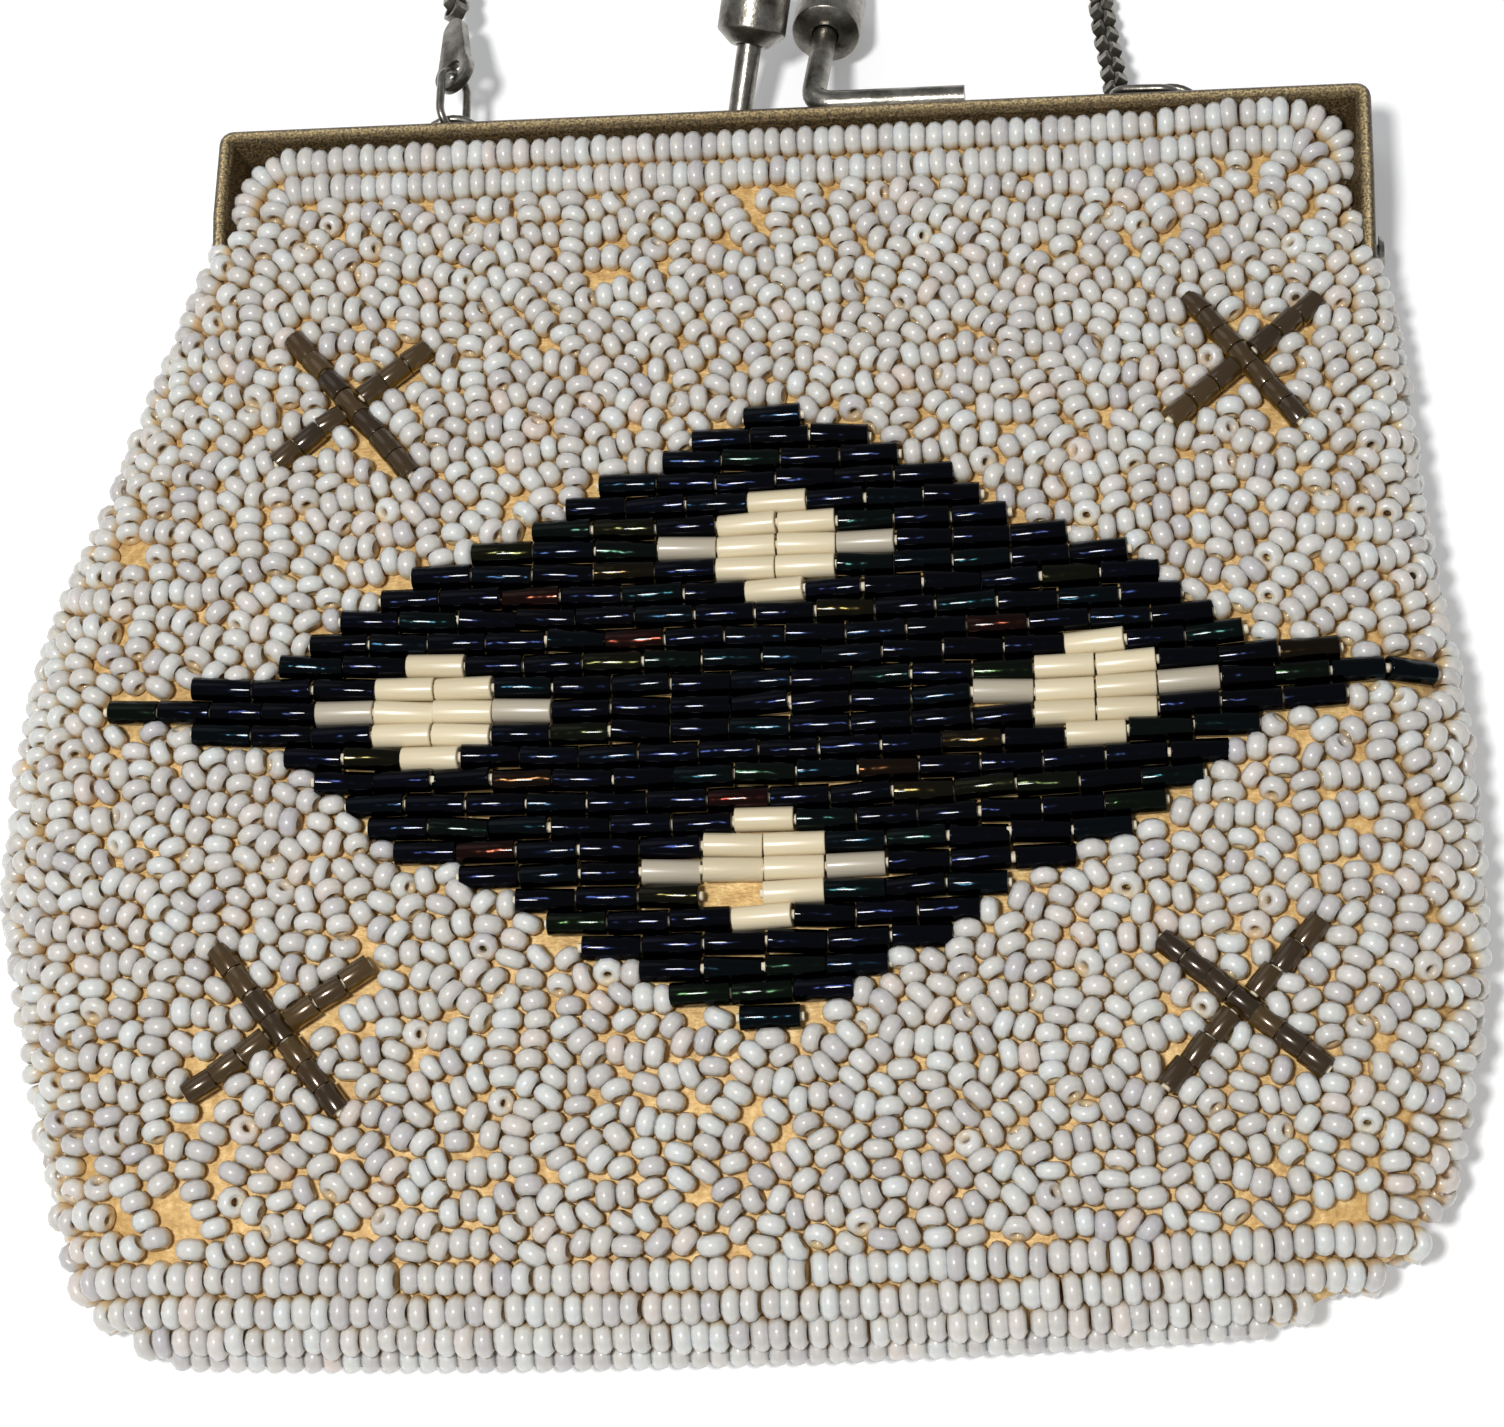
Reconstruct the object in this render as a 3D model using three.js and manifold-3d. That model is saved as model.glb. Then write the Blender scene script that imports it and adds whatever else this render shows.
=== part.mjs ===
// Beaded evening bag lying on its back: a soft pouch worked with bugle motifs, a square
// two-part metal frame with a kiss lock, and a chain handle laid out in an arch.
// Millimetres, +Z up. X runs across the bag, Y up the bag to the frame and the chain.
// The origin is on the flat back that the bag rests on, under the middle of the large motif.

import * as THREE from 'three';
import { mergeVertices } from 'three/addons/utils/BufferGeometryUtils.js';
import Module from 'manifold-3d';

const wasm = await Module();
wasm.setup();

// Gap that is kept between neighbouring pieces
const GAP = 0.3;

// Pouch wall: cloth with half the thickness of its bead layer
const POUCH_WALL = 2.2;
// Share of the section's height at which the sides reach furthest out
const SIDE_LEVEL = 0.45;
const BACK_SQUARE = 16;
// Points from the middle of a section to its side, on the outside and in the hollow
const OUTSIDE_STEPS = 7;
const HOLLOW_STEPS = 5;
const SECTION_CROWDING = 2.2;
// Turn of the bottom rows against the frame, in mm of rise for each mm across
const BODY_TWIST = 0.034;
// The rows hang in the middle: their ends stand higher by this much at the given reach
const ROW_SAG = 1.4;
const ROW_SAG_REACH = 50;

// Sections of the pouch from the frame down to the bottom fold: station y, reach of the left
// and right sides, height of the front and of the back, and how squarely the front turns down
const SECTION_COLUMNS = ['y', 'left', 'right', 'front', 'back', 'square'];
const SECTION_TABLE = [
  [50.1, -44.1, 44.1, 9.4, 1.0, 40],
  [43.6, -44.1, 44.1, 9.6, 0.7, 40],
  [37.2, -44.4, 44.2, 10.0, 0.3, 26],
  [35.0, -47.0, 46.2, 10.2, 0.1, 16],
  [32.4, -50.0, 47.8, 10.4, 0.0, 12],
  [26.0, -52.3, 48.6, 10.8, 0.0, 12],
  [18.0, -54.6, 49.1, 11.1, 0.0, 12],
  [10.0, -57.3, 49.8, 11.3, 0.0, 12],
  [2.0, -58.9, 51.2, 11.4, 0.0, 12],
  [-6.0, -59.5, 52.0, 11.4, 0.0, 12],
  [-14.0, -59.3, 52.4, 11.2, 0.0, 12],
  [-22.0, -57.6, 52.4, 10.8, 0.0, 12],
  [-30.0, -55.5, 51.4, 10.2, 0.0, 10],
  [-37.0, -53.7, 49.8, 9.4, 0.0, 9],
  [-41.5, -52.2, 48.4, 8.5, 0.1, 8],
  [-44.4, -50.6, 46.4, 7.4, 0.6, 7],
  [-46.6, -47.8, 41.8, 5.9, 1.6, 6],
  [-47.4, -44.6, 37.6, 4.6, 2.6, 5],
];
const SECTIONS = SECTION_TABLE.map((row) => named(SECTION_COLUMNS, row));
const POUCH_TOP = SECTIONS[0].y;
const POUCH_BOTTOM = SECTIONS[SECTIONS.length - 1].y;
// Lowest section that the hollow reaches
const HOLLOW_BOTTOM = -44.4;

// Frame: two trays of thin metal that meet at the parting plane
const FRAME_HALF_WIDTH = 47.15;
const FRAME_TOP = 52.55;
const FRAME_CORNER_RADIUS = 1.2;
const PARTING_LEVEL = 5.2;
const LEG_END = 37.4;
const LEG_TAPER = 44.6;
const RIM_HEIGHT = 4.6;
const RIM_HEIGHT_AT_LEG_END = 2.9;
const RIM_WIDTH = 0.9;
const RIM_CHAMFER = 0.35;
const SLOPE_FOOT = 2.0;
const FLANGE_WIDTH = 6.0;
const FLANGE_THICKNESS = 1.2;
// Half the open mouth between the front and the back cloth inside the frame
const MOUTH_HALF = 2.15;
const MOUTH_BOTTOM = 35.9;

// Hinges at the ends of the legs: an outer lug on the front half, an inner one on the back
const HINGE_Y = 39.4;
const LUG_RADIUS = 2.0;
const OUTER_LUG = { from: 46.25, to: 47.15 };
const INNER_LUG = { from: 45.05, to: 45.95 };
const RIVET_RADIUS = 0.7;
const RIVET_HEAD_RADIUS = 1.4;
const RIVET_HEAD_HEIGHT = 0.6;
// The outer head is domed: its shoulder is this far out and this high
const RIVET_DOME = { radius: 1.1, height: 0.4 };
const RIVET_SIDES = 16;

// Kiss lock: the back half's knob leans forward over the front half's, which leans back.
// The foot of the back knob is a cone, that of the front knob is nearly flat.
const KNOB_RADIUS = 2.85;
const KNOB_LENGTH = 6.0;
const KNOB_ROUND = 0.5;
const KNOB_BORE_DEPTH = 3.0;
const KNOB_SIDES = 18;
const STEM_RADIUS = 1.0;
const STEM_SIDES = 10;
const STEM_STEPS = 12;
const BACK_STEM = { x: -4.8, level: 3.4, lean: 22, swing: 9.5, length: 11.7, cone: 1.1 };
const FRONT_STEM = { x: 2.2, level: 8.6, lean: -23, swing: 3.5, length: 12.1, cone: 0.35 };
const STEM_FOOT_LENGTH = 12.5;
const STEM_BEND = 2.0;

// Chain fittings: a low arch on the frame at each end, a bail through it, and on the left a
// flat end plate
const WIRE_RADIUS = 0.35;
const WIRE_SIDES = 6;
const ARCH_LEVEL = 7.0;
const ARCH_HALF_WIDTH = 2.5;
const ARCH_RISE = 1.7;
// Height of the bail's wire over the frame where it passes under the arch
const BAIL_RISE = 0.69;
const ARCH_STEPS = 10;
const BAIL_HALF_WIDTH = 1.6;
const BAIL_LENGTH = 5.6;
const BAIL_STEPS = 16;
const PLATE_EYE_RADIUS = 1.9;
const PLATE_HOLE_RADIUS = 0.95;
const PLATE_LENGTH = 6.2;
const PLATE_NECK = 1.2;
const PLATE_THICKNESS = 0.9;
// Each end of the chain: the arch's place, where the bail starts, its way and its wire's way there.
// The left bail stands up and carries the plate. The right one lies along the frame.
const LEFT_END = {
  archX: -28.0,
  bailRoot: [-28.0, FRAME_TOP + BAIL_RISE, ARCH_LEVEL],
  bailWay: [-0.03, 0.998, -0.05],
  bailSide: [0.52, 0, -0.854],
  plateWay: [-0.09, 0.965, -0.25],
};
const RIGHT_END = {
  archX: 31.2,
  bailRoot: [32.1, FRAME_TOP + BAIL_RISE, ARCH_LEVEL],
  bailWay: [-0.985, 0.1, -0.12],
  bailSide: [0, 0, 1],
};

// Chain: a square link chain of about 290 mm, from the left plate round to the right bail
const CHAIN_RADIUS = 1.1;
const CHAIN_SIDES = 8;
const CHAIN_STEPS = 54;
const CHAIN_ROUTE = [
  [-28.9, 65.7, 4.7], [-29.2, 71, 3.2], [-29.5, 77, 1.8], [-29.9, 84, 1.35], [-30.6, 96, 1.2],
  [-31.6, 116, 1.2], [-32.2, 136, 1.2], [-31.2, 154, 1.2], [-26.5, 171, 1.2], [-16.5, 186, 1.2],
  [-2, 192.5, 1.2], [12.5, 187.5, 1.2], [23.5, 174, 1.2], [28.5, 156, 1.2], [29.6, 136, 1.2],
  [28.4, 116, 1.2], [26.6, 96, 1.2], [25.4, 80, 1.2], [25.3, 70, 1.3], [25.85, 63.5, 2.2],
  [26.5, 58.5, 3.8], [26.9, 55.1, 5.1],
];

// Bugle motifs: tube beads sewn side by side in rows, a row for each line of the chart
const BUGLE_LENGTH = 4.61;
const ROW_PITCH = 1.865;
const MIDDLE_ROW_Y = -0.4;
// Short slope between two rows of different lengths
const ROW_STEP = 0.1;
// The motifs sink into the bead layer and stand a little above it
const BUGLE_UNDER = -0.7;
const BUGLE_OVER = 1.1;
const BUGLE_SHOULDER = 0.55;
const BED_DEPTH = -1.0;
const BED_TOP = 4;
const BED_MARGIN = 0.3;
const STATION_SPACING = 20;

// Large diamond, top row first: number of bugles and middle of the row
const DIAMOND_COLUMNS = ['bugles', 'middle'];
const DIAMOND_CHART = [
  [1, 0.0], [3, 0.6], [4, 0.7], [6, 0.35], [7, 0.1], [8, -0.1], [10, -0.2], [12, -0.2], [13, -0.25],
  [14, -0.95], [15, -0.9], [16, -0.9], [19, -0.85], [22, -0.75], [19, -0.5], [16, 0.05], [15, 0.15],
  [14, 0.5], [13, 0.0], [12, -0.15], [10, 0.25], [8, -0.1], [7, 0.15], [6, 0.45], [4, 0.35], [3, 0.25],
  [1, 0.85],
].map((row) => named(DIAMOND_COLUMNS, row));
// Each pale lozenge: bugles in its rows, and the places of the four of them on the diamond
const LOZENGE_BUGLES = [1, 2, 4, 2, 1];
const LOZENGES = [
  { name: 'cream_diamond_top', x: 0.55, row: 6 },
  { name: 'cream_diamond_bottom', x: 0.15, row: 20 },
  { name: 'cream_diamond_left', x: -25.5, row: 13 },
  { name: 'cream_diamond_right', x: 24.85, row: 13 },
];

// Corner crosses: two bars of short bugles each
const CROSS_BAR_RADIUS = 0.9;
const CROSS_BAR_SIDES = 8;
const CROSS_LIFT = 0.2;
// Middle of each cross, its two bars' lengths and their slopes across the bag in degrees
const CROSS_COLUMNS = ['name', 'x', 'y', 'falling', 'fallingSlope', 'rising', 'risingSlope'];
const CROSSES = [
  ['bronze_cross_top_left', -33.8, 26.0, 16.6, -50, 15.4, 41],
  ['bronze_cross_top_right', 36.5, 27.0, 14.4, -54, 15.8, 42],
  ['bronze_cross_bottom_left', -36.1, -25.0, 15.9, -50, 16.8, 36],
  ['bronze_cross_bottom_right', 35.2, -25.6, 15.7, -42, 16.4, 45],
].map((row) => named(CROSS_COLUMNS, row));

const MATERIALS = {
  beadwork: new THREE.MeshStandardMaterial({ color: 0xd9cfc6, roughness: 0.35, metalness: 0 }),
  dark: new THREE.MeshStandardMaterial({ color: 0x0b0f1c, roughness: 0.12, metalness: 0.3 }),
  cream: new THREE.MeshStandardMaterial({ color: 0xe6d8b4, roughness: 0.35, metalness: 0 }),
  bronze: new THREE.MeshStandardMaterial({ color: 0x4a3214, roughness: 0.2, metalness: 0.3 }),
  brass: new THREE.MeshStandardMaterial({ color: 0x4f4430, roughness: 0.45, metalness: 1 }),
  nickel: new THREE.MeshStandardMaterial({ color: 0x6f6c66, roughness: 0.25, metalness: 1 }),
};

function named(columns, row) {
  return Object.fromEntries(columns.map((column, i) => [column, row[i]]));
}

function mix(from, to, share) {
  return from + (to - from) * share;
}

function vector([x, y, z]) {
  return new THREE.Vector3(x, y, z);
}

// Closed mesh and solid helpers

// Vertices shared, triangles that have collapsed left out, faces pointing out
function cleaned(geometry) {
  const bare = new THREE.BufferGeometry();
  bare.setAttribute('position', geometry.getAttribute('position').clone());
  if (geometry.index) bare.setIndex(geometry.index.clone());
  const merged = mergeVertices(bare);
  const index = merged.index.array;
  const kept = [];
  for (let i = 0; i < index.length; i += 3) {
    const [a, b, c] = [index[i], index[i + 1], index[i + 2]];
    if (a !== b && b !== c && c !== a) kept.push(a, b, c);
  }
  if (signedVolume(merged.getAttribute('position'), kept) < 0) kept.reverse();
  merged.setIndex(kept);
  return merged;
}

function signedVolume(position, index) {
  const [a, b, c] = [0, 1, 2].map(() => new THREE.Vector3());
  let total = 0;
  for (let i = 0; i < index.length; i += 3) {
    a.fromBufferAttribute(position, index[i]);
    b.fromBufferAttribute(position, index[i + 1]);
    c.fromBufferAttribute(position, index[i + 2]);
    total += a.dot(b.cross(c)) / 6;
  }
  return total;
}

function solidOf(geometry) {
  const closed = cleaned(geometry);
  const mesh = new wasm.Mesh({
    numProp: 3,
    vertProperties: new Float32Array(closed.getAttribute('position').array),
    triVerts: new Uint32Array(closed.index.array),
  });
  return new wasm.Manifold(mesh);
}

function geometryOf(solid) {
  const mesh = solid.getMesh();
  const geometry = new THREE.BufferGeometry();
  geometry.setAttribute('position', new THREE.BufferAttribute(mesh.vertProperties, 3));
  geometry.setIndex(new THREE.BufferAttribute(mesh.triVerts, 1));
  return geometry;
}

function joined(solids) {
  return solids.reduce((all, solid) => all.add(solid));
}

function cutFrom(solid, cutters) {
  return cutters.reduce((rest, cutter) => rest.subtract(cutter), solid);
}

// Skin through rings with the same number of points, closed by flat ends
function loft(rings, ends) {
  const count = rings[0].length;
  const position = rings.flat().flatMap((point) => point.toArray());
  const index = [];
  for (let ring = 0; ring + 1 < rings.length; ring += 1) {
    for (let i = 0; i < count; i += 1) {
      const a = ring * count + i;
      const b = ring * count + ((i + 1) % count);
      index.push(a, b, b + count, a, b + count, a + count);
    }
  }
  const last = (rings.length - 1) * count;
  for (const [a, b, c] of ends) index.push(a, c, b, last + a, last + b, last + c);
  const geometry = new THREE.BufferGeometry();
  geometry.setAttribute('position', new THREE.Float32BufferAttribute(position, 3));
  geometry.setIndex(index);
  return geometry;
}

// Triangles of a flat end whose ring runs out along one side and back along the other.
// The ring's two turning places are single points, or short blunt edges.
function zippedEnd(count, blunt) {
  const partner = (i) => (count - (blunt ? 1 : 0) - i) % count;
  const triangles = [];
  for (let i = 0; i + 1 < count / 2 + (blunt ? 0 : 1); i += 1) {
    triangles.push([i, i + 1, partner(i + 1)], [i, partner(i + 1), partner(i)]);
  }
  return triangles.filter((corners) => new Set(corners).size === 3);
}

// Triangles of a flat end with any outline, wound the way that its ring runs
function outlineEnd(contour) {
  const turn = Math.sign(THREE.ShapeUtils.area(contour));
  return THREE.ShapeUtils.triangulateShape(contour, []).map(([a, b, c]) => {
    const side = THREE.ShapeUtils.area([contour[a], contour[b], contour[c]]);
    return side * turn < 0 ? [a, c, b] : [a, b, c];
  });
}

// Cylinder along X between two places
function crossPin(from, to, radius, sides, y, z) {
  const pin = new THREE.CylinderGeometry(radius, radius, to - from, sides);
  pin.rotateZ(Math.PI / 2);
  pin.translate((from + to) / 2, y, z);
  return pin;
}

// Round wire along a curve
function wireAlong(curve, radius, sides, steps) {
  const section = new THREE.Shape();
  for (let i = 0; i < sides; i += 1) {
    const angle = (2 * Math.PI * i) / sides;
    const point = [radius * Math.cos(angle), radius * Math.sin(angle)];
    if (i === 0) section.moveTo(...point);
    else section.lineTo(...point);
  }
  section.closePath();
  return new THREE.ExtrudeGeometry(section, { steps, extrudePath: curve });
}

// Turn and move a shape so that its own X, Y and Z run along the given ways
function placed(geometry, origin, along, side) {
  const y = along.clone().normalize();
  const x = side.clone().addScaledVector(y, -side.dot(y)).normalize();
  const z = x.clone().cross(y);
  const matrix = new THREE.Matrix4().makeBasis(x, y, z).setPosition(origin);
  return geometry.applyMatrix4(matrix);
}

// Pouch

// Rise of a row's point above its station: none at the frame, most of it from the middle down
function rowRise(x, y) {
  const share = (POUCH_TOP - y) / (POUCH_TOP - POUCH_BOTTOM);
  const sag = ROW_SAG * (x / ROW_SAG_REACH) ** 2;
  return BODY_TWIST * x * share + sag * Math.min(1, 2 * share);
}

function sectionAt(y) {
  const below = SECTIONS.findIndex((section) => section.y <= y);
  if (below === 0) return SECTIONS[0];
  if (below < 0) return SECTIONS[SECTIONS.length - 1];
  const [upper, lower] = [SECTIONS[below - 1], SECTIONS[below]];
  const share = (upper.y - y) / (upper.y - lower.y);
  return named(SECTION_COLUMNS, SECTION_COLUMNS.map((column) => mix(upper[column], lower[column], share)));
}

function sideLevel(section) {
  return mix(section.back, section.front, SIDE_LEVEL);
}

// Height of a section's front or back at a share of the half width
function frontHeight(section, share) {
  const level = sideLevel(section);
  return level + (section.front - level) * Math.sqrt(Math.max(0, 1 - Math.abs(share) ** section.square));
}

function backHeight(section, share) {
  const level = sideLevel(section);
  return level - (level - section.back) * Math.sqrt(Math.max(0, 1 - Math.abs(share) ** BACK_SQUARE));
}

// Point of the pouch's front over the station y, lifted off it
function frontPoint(x, y, lift) {
  const section = sectionAt(y);
  const middle = (section.left + section.right) / 2;
  const half = (section.right - section.left) / 2;
  const share = Math.min(1, Math.abs(x - middle) / half);
  return new THREE.Vector3(x, y + rowRise(x, y), frontHeight(section, share) + lift);
}

// Ring of points round a section: across the front from right to left, then back under it
function sectionRing(section, steps) {
  const middle = (section.left + section.right) / 2;
  const half = (section.right - section.left) / 2;
  const shares = [];
  for (let i = -steps; i <= steps; i += 1) {
    const out = 1 - (1 - Math.abs(i) / steps) ** SECTION_CROWDING;
    shares.push(Math.sign(-i) * out);
  }
  const at = (share, z) => {
    const x = middle + half * share;
    return new THREE.Vector3(x, section.y + rowRise(x, section.y), z);
  };
  const front = shares.map((share) => at(share, frontHeight(section, share)));
  const back = shares.slice(1, -1).reverse().map((share) => at(share, backHeight(section, share)));
  return [...front, ...back];
}

function insetSection(section) {
  return {
    ...section,
    left: section.left + POUCH_WALL,
    right: section.right - POUCH_WALL,
    front: section.front - POUCH_WALL,
    back: section.back + POUCH_WALL,
  };
}

function sectionLoft(sections, steps) {
  return solidOf(loft(sections.map((section) => sectionRing(section, steps)), zippedEnd(4 * steps, false)));
}

function makePouch(beds) {
  const outside = sectionLoft(SECTIONS, OUTSIDE_STEPS);
  const hollow = SECTIONS.filter((section) => section.y >= HOLLOW_BOTTOM).map(insetSection);
  const inside = sectionLoft([{ ...hollow[0], y: FRAME_TOP }, ...hollow], HOLLOW_STEPS);
  const mouth = new THREE.BoxGeometry(4 * FRAME_HALF_WIDTH, FRAME_TOP - MOUTH_BOTTOM, 2 * MOUTH_HALF);
  mouth.translate(0, (FRAME_TOP + MOUTH_BOTTOM) / 2, PARTING_LEVEL);
  return cutFrom(outside, [inside, solidOf(mouth), ...beds]);
}

// Frame

// Section of one tray: distance in from the outside, and height off the parting plane
function traySection(rimHeight) {
  return [
    [0, GAP / 2],
    [0, rimHeight - RIM_CHAMFER],
    [-RIM_CHAMFER, rimHeight],
    [-RIM_WIDTH, rimHeight],
    [-SLOPE_FOOT, FLANGE_THICKNESS + GAP],
    [-SLOPE_FOOT - GAP, FLANGE_THICKNESS],
    [-FLANGE_WIDTH, FLANGE_THICKNESS],
    [-FLANGE_WIDTH, GAP / 2],
  ];
}

// One tray swept up the left leg, across the top and down the right leg, mitred at the corners
function makeTray(facing) {
  const stations = [
    { x: -FRAME_HALF_WIDTH, y: LEG_END, way: [-1, 0], rim: RIM_HEIGHT_AT_LEG_END },
    { x: -FRAME_HALF_WIDTH, y: LEG_TAPER, way: [-1, 0], rim: RIM_HEIGHT },
    { x: -FRAME_HALF_WIDTH, y: FRAME_TOP, way: [-1, 1], rim: RIM_HEIGHT },
    { x: FRAME_HALF_WIDTH, y: FRAME_TOP, way: [1, 1], rim: RIM_HEIGHT },
    { x: FRAME_HALF_WIDTH, y: LEG_TAPER, way: [1, 0], rim: RIM_HEIGHT },
    { x: FRAME_HALF_WIDTH, y: LEG_END, way: [1, 0], rim: RIM_HEIGHT_AT_LEG_END },
  ];
  const rings = stations.map(({ x, y, way, rim }) => traySection(rim).map(([out, up]) => (
    new THREE.Vector3(x + way[0] * out, y + way[1] * out, PARTING_LEVEL + facing * up)
  )));
  const section = traySection(RIM_HEIGHT).map(([out, up]) => new THREE.Vector2(out, up));
  return solidOf(loft(rings, outlineEnd(section))).intersect(roundedPlan());
}

// Plan of the frame with its two upper corners rounded
function roundedPlan() {
  const [w, h, r] = [FRAME_HALF_WIDTH, FRAME_TOP, FRAME_CORNER_RADIUS];
  const plan = new THREE.Shape();
  plan.moveTo(-w, 0);
  plan.lineTo(w, 0);
  plan.absarc(w - r, h - r, r, 0, Math.PI / 2, false);
  plan.absarc(-w + r, h - r, r, Math.PI / 2, Math.PI, false);
  plan.closePath();
  const prism = new THREE.ExtrudeGeometry(plan, { depth: 4 * RIM_HEIGHT, bevelEnabled: false, curveSegments: 4 });
  prism.translate(0, 0, PARTING_LEVEL - 2 * RIM_HEIGHT);
  return solidOf(prism);
}

// Disc on the hinge axis at both ends of the frame
function hingeDiscs({ from, to }, radius) {
  return [-1, 1].map((side) => solidOf(
    crossPin(side * from, side * to, radius, RIVET_SIDES, HINGE_Y, PARTING_LEVEL),
  ));
}

// Room for the rivet: its shaft through the lugs and its inner head in the flange
function rivetRoom() {
  const shaft = { from: INNER_LUG.from - GAP, to: OUTER_LUG.to + GAP };
  const innerHead = { from: INNER_LUG.from - 2 * GAP - 2 * RIVET_HEAD_HEIGHT, to: INNER_LUG.from };
  return [
    ...hingeDiscs(shaft, RIVET_RADIUS + GAP),
    ...hingeDiscs(innerHead, RIVET_HEAD_RADIUS + GAP),
  ];
}

function makeRivet(side) {
  const inner = INNER_LUG.from - GAP;
  const outer = OUTER_LUG.to + GAP;
  const profile = [
    [0, inner - RIVET_HEAD_HEIGHT],
    [RIVET_HEAD_RADIUS, inner - RIVET_HEAD_HEIGHT],
    [RIVET_HEAD_RADIUS, inner],
    [RIVET_RADIUS, inner],
    [RIVET_RADIUS, outer],
    [RIVET_HEAD_RADIUS, outer],
    [RIVET_DOME.radius, outer + RIVET_DOME.height],
    [0, outer + RIVET_HEAD_HEIGHT],
  ].map(([radius, along]) => new THREE.Vector2(radius, along));
  const rivet = new THREE.LatheGeometry(profile, RIVET_SIDES);
  rivet.rotateZ((-side * Math.PI) / 2);
  rivet.translate(0, HINGE_Y, PARTING_LEVEL);
  return solidOf(rivet);
}

// Way that a kiss lock stem points: up the bag, leaning out of the frame's plane
function stemWay({ lean, swing }) {
  const [up, across] = [THREE.MathUtils.degToRad(lean), THREE.MathUtils.degToRad(swing)];
  return new THREE.Vector3(Math.sin(across), Math.cos(up) * Math.cos(across), Math.sin(up)).normalize();
}

function makeBackStem() {
  const root = new THREE.Vector3(BACK_STEM.x, FRAME_TOP - RIM_WIDTH / 2, BACK_STEM.level);
  const stem = new THREE.CylinderGeometry(STEM_RADIUS, STEM_RADIUS, BACK_STEM.length, STEM_SIDES);
  stem.translate(0, BACK_STEM.length / 2, 0);
  return solidOf(placed(stem, root, stemWay(BACK_STEM), new THREE.Vector3(1, 0, 0)));
}

// The front stem is one bent wire: its foot lies along the top of the frame
function makeFrontStem() {
  const bed = FRAME_TOP + STEM_RADIUS - GAP;
  const way = stemWay(FRONT_STEM);
  const root = new THREE.Vector3(FRONT_STEM.x, bed, FRONT_STEM.level);
  const bend = new THREE.QuadraticBezierCurve3(
    root.clone().add(new THREE.Vector3(STEM_BEND, 0, 0)),
    root,
    root.clone().addScaledVector(way, STEM_BEND),
  );
  const route = new THREE.CurvePath();
  const footEnd = root.clone().add(new THREE.Vector3(STEM_FOOT_LENGTH, 0, 0));
  route.add(new THREE.LineCurve3(footEnd, bend.v0));
  route.add(bend);
  route.add(new THREE.LineCurve3(bend.v2, root.clone().addScaledVector(way, FRONT_STEM.length)));
  return solidOf(wireAlong(route, STEM_RADIUS, STEM_SIDES, STEM_STEPS));
}

// Barrel knob with a coned foot and a blind bore that takes the end of its stem
function makeKnob(stem, root) {
  const bore = STEM_RADIUS + GAP;
  const profile = [
    [0, KNOB_LENGTH],
    [KNOB_RADIUS - KNOB_ROUND, KNOB_LENGTH],
    [KNOB_RADIUS, KNOB_LENGTH - KNOB_ROUND],
    [KNOB_RADIUS, stem.cone],
    [bore + GAP, 0],
    [bore, 0],
    [bore, KNOB_BORE_DEPTH],
    [0, KNOB_BORE_DEPTH],
  ].map(([radius, along]) => new THREE.Vector2(radius, along));
  const knob = new THREE.LatheGeometry(profile, KNOB_SIDES);
  const way = stemWay(stem);
  const foot = root.clone().addScaledVector(way, stem.length - KNOB_BORE_DEPTH + GAP);
  return solidOf(placed(knob, foot, way, new THREE.Vector3(1, 0, 0)));
}

// Low arch on the top of the front half that a bail passes under
function makeArch({ archX: x }) {
  const foot = FRAME_TOP - RIM_WIDTH / 2;
  const rise = FRAME_TOP + ARCH_RISE - foot;
  const bow = new THREE.EllipseCurve(x, foot, ARCH_HALF_WIDTH, rise, 0, Math.PI).getPoints(ARCH_STEPS);
  const curve = new THREE.CatmullRomCurve3(bow.map((point) => new THREE.Vector3(point.x, point.y, ARCH_LEVEL)));
  return solidOf(wireAlong(curve, WIRE_RADIUS, WIRE_SIDES, ARCH_STEPS));
}

// Chain fittings

// Long ring of wire: a torus whose two halves are drawn apart
function makeBail(end) {
  const ring = new THREE.TorusGeometry(BAIL_HALF_WIDTH, WIRE_RADIUS, WIRE_SIDES, BAIL_STEPS);
  const position = ring.getAttribute('position');
  const stretch = BAIL_LENGTH - 2 * BAIL_HALF_WIDTH;
  for (let i = 0; i < position.count; i += 1) {
    const y = position.getY(i) + BAIL_HALF_WIDTH;
    position.setY(i, y > BAIL_HALF_WIDTH ? y + stretch : y);
  }
  return solidOf(placed(ring, vector(end.bailRoot), vector(end.bailWay), vector(end.bailSide)));
}

// Drop-shaped plate: its eye hangs on the bail's far bend, its neck holds the chain's end
function makePlate(end) {
  const drop = new THREE.Shape();
  drop.absarc(0, 0, PLATE_EYE_RADIUS, Math.PI * 0.8, Math.PI * 2.2, false);
  drop.lineTo(PLATE_NECK, PLATE_LENGTH - PLATE_NECK);
  drop.absarc(0, PLATE_LENGTH - PLATE_NECK, PLATE_NECK, 0, Math.PI, false);
  drop.closePath();
  const hole = new THREE.Path();
  hole.absarc(0, 0, PLATE_HOLE_RADIUS, 0, Math.PI * 2, true);
  drop.holes.push(hole);
  const plate = new THREE.ExtrudeGeometry(drop, {
    depth: PLATE_THICKNESS, bevelEnabled: false, curveSegments: 7,
  });
  plate.translate(0, 0, -PLATE_THICKNESS / 2);
  const bailWay = vector(end.bailWay).normalize();
  const eye = vector(end.bailRoot).addScaledVector(bailWay, BAIL_LENGTH);
  const faceWay = vector(end.bailSide);
  const across = vector(end.plateWay).cross(faceWay);
  return solidOf(placed(plate, eye, vector(end.plateWay), across));
}

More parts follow.
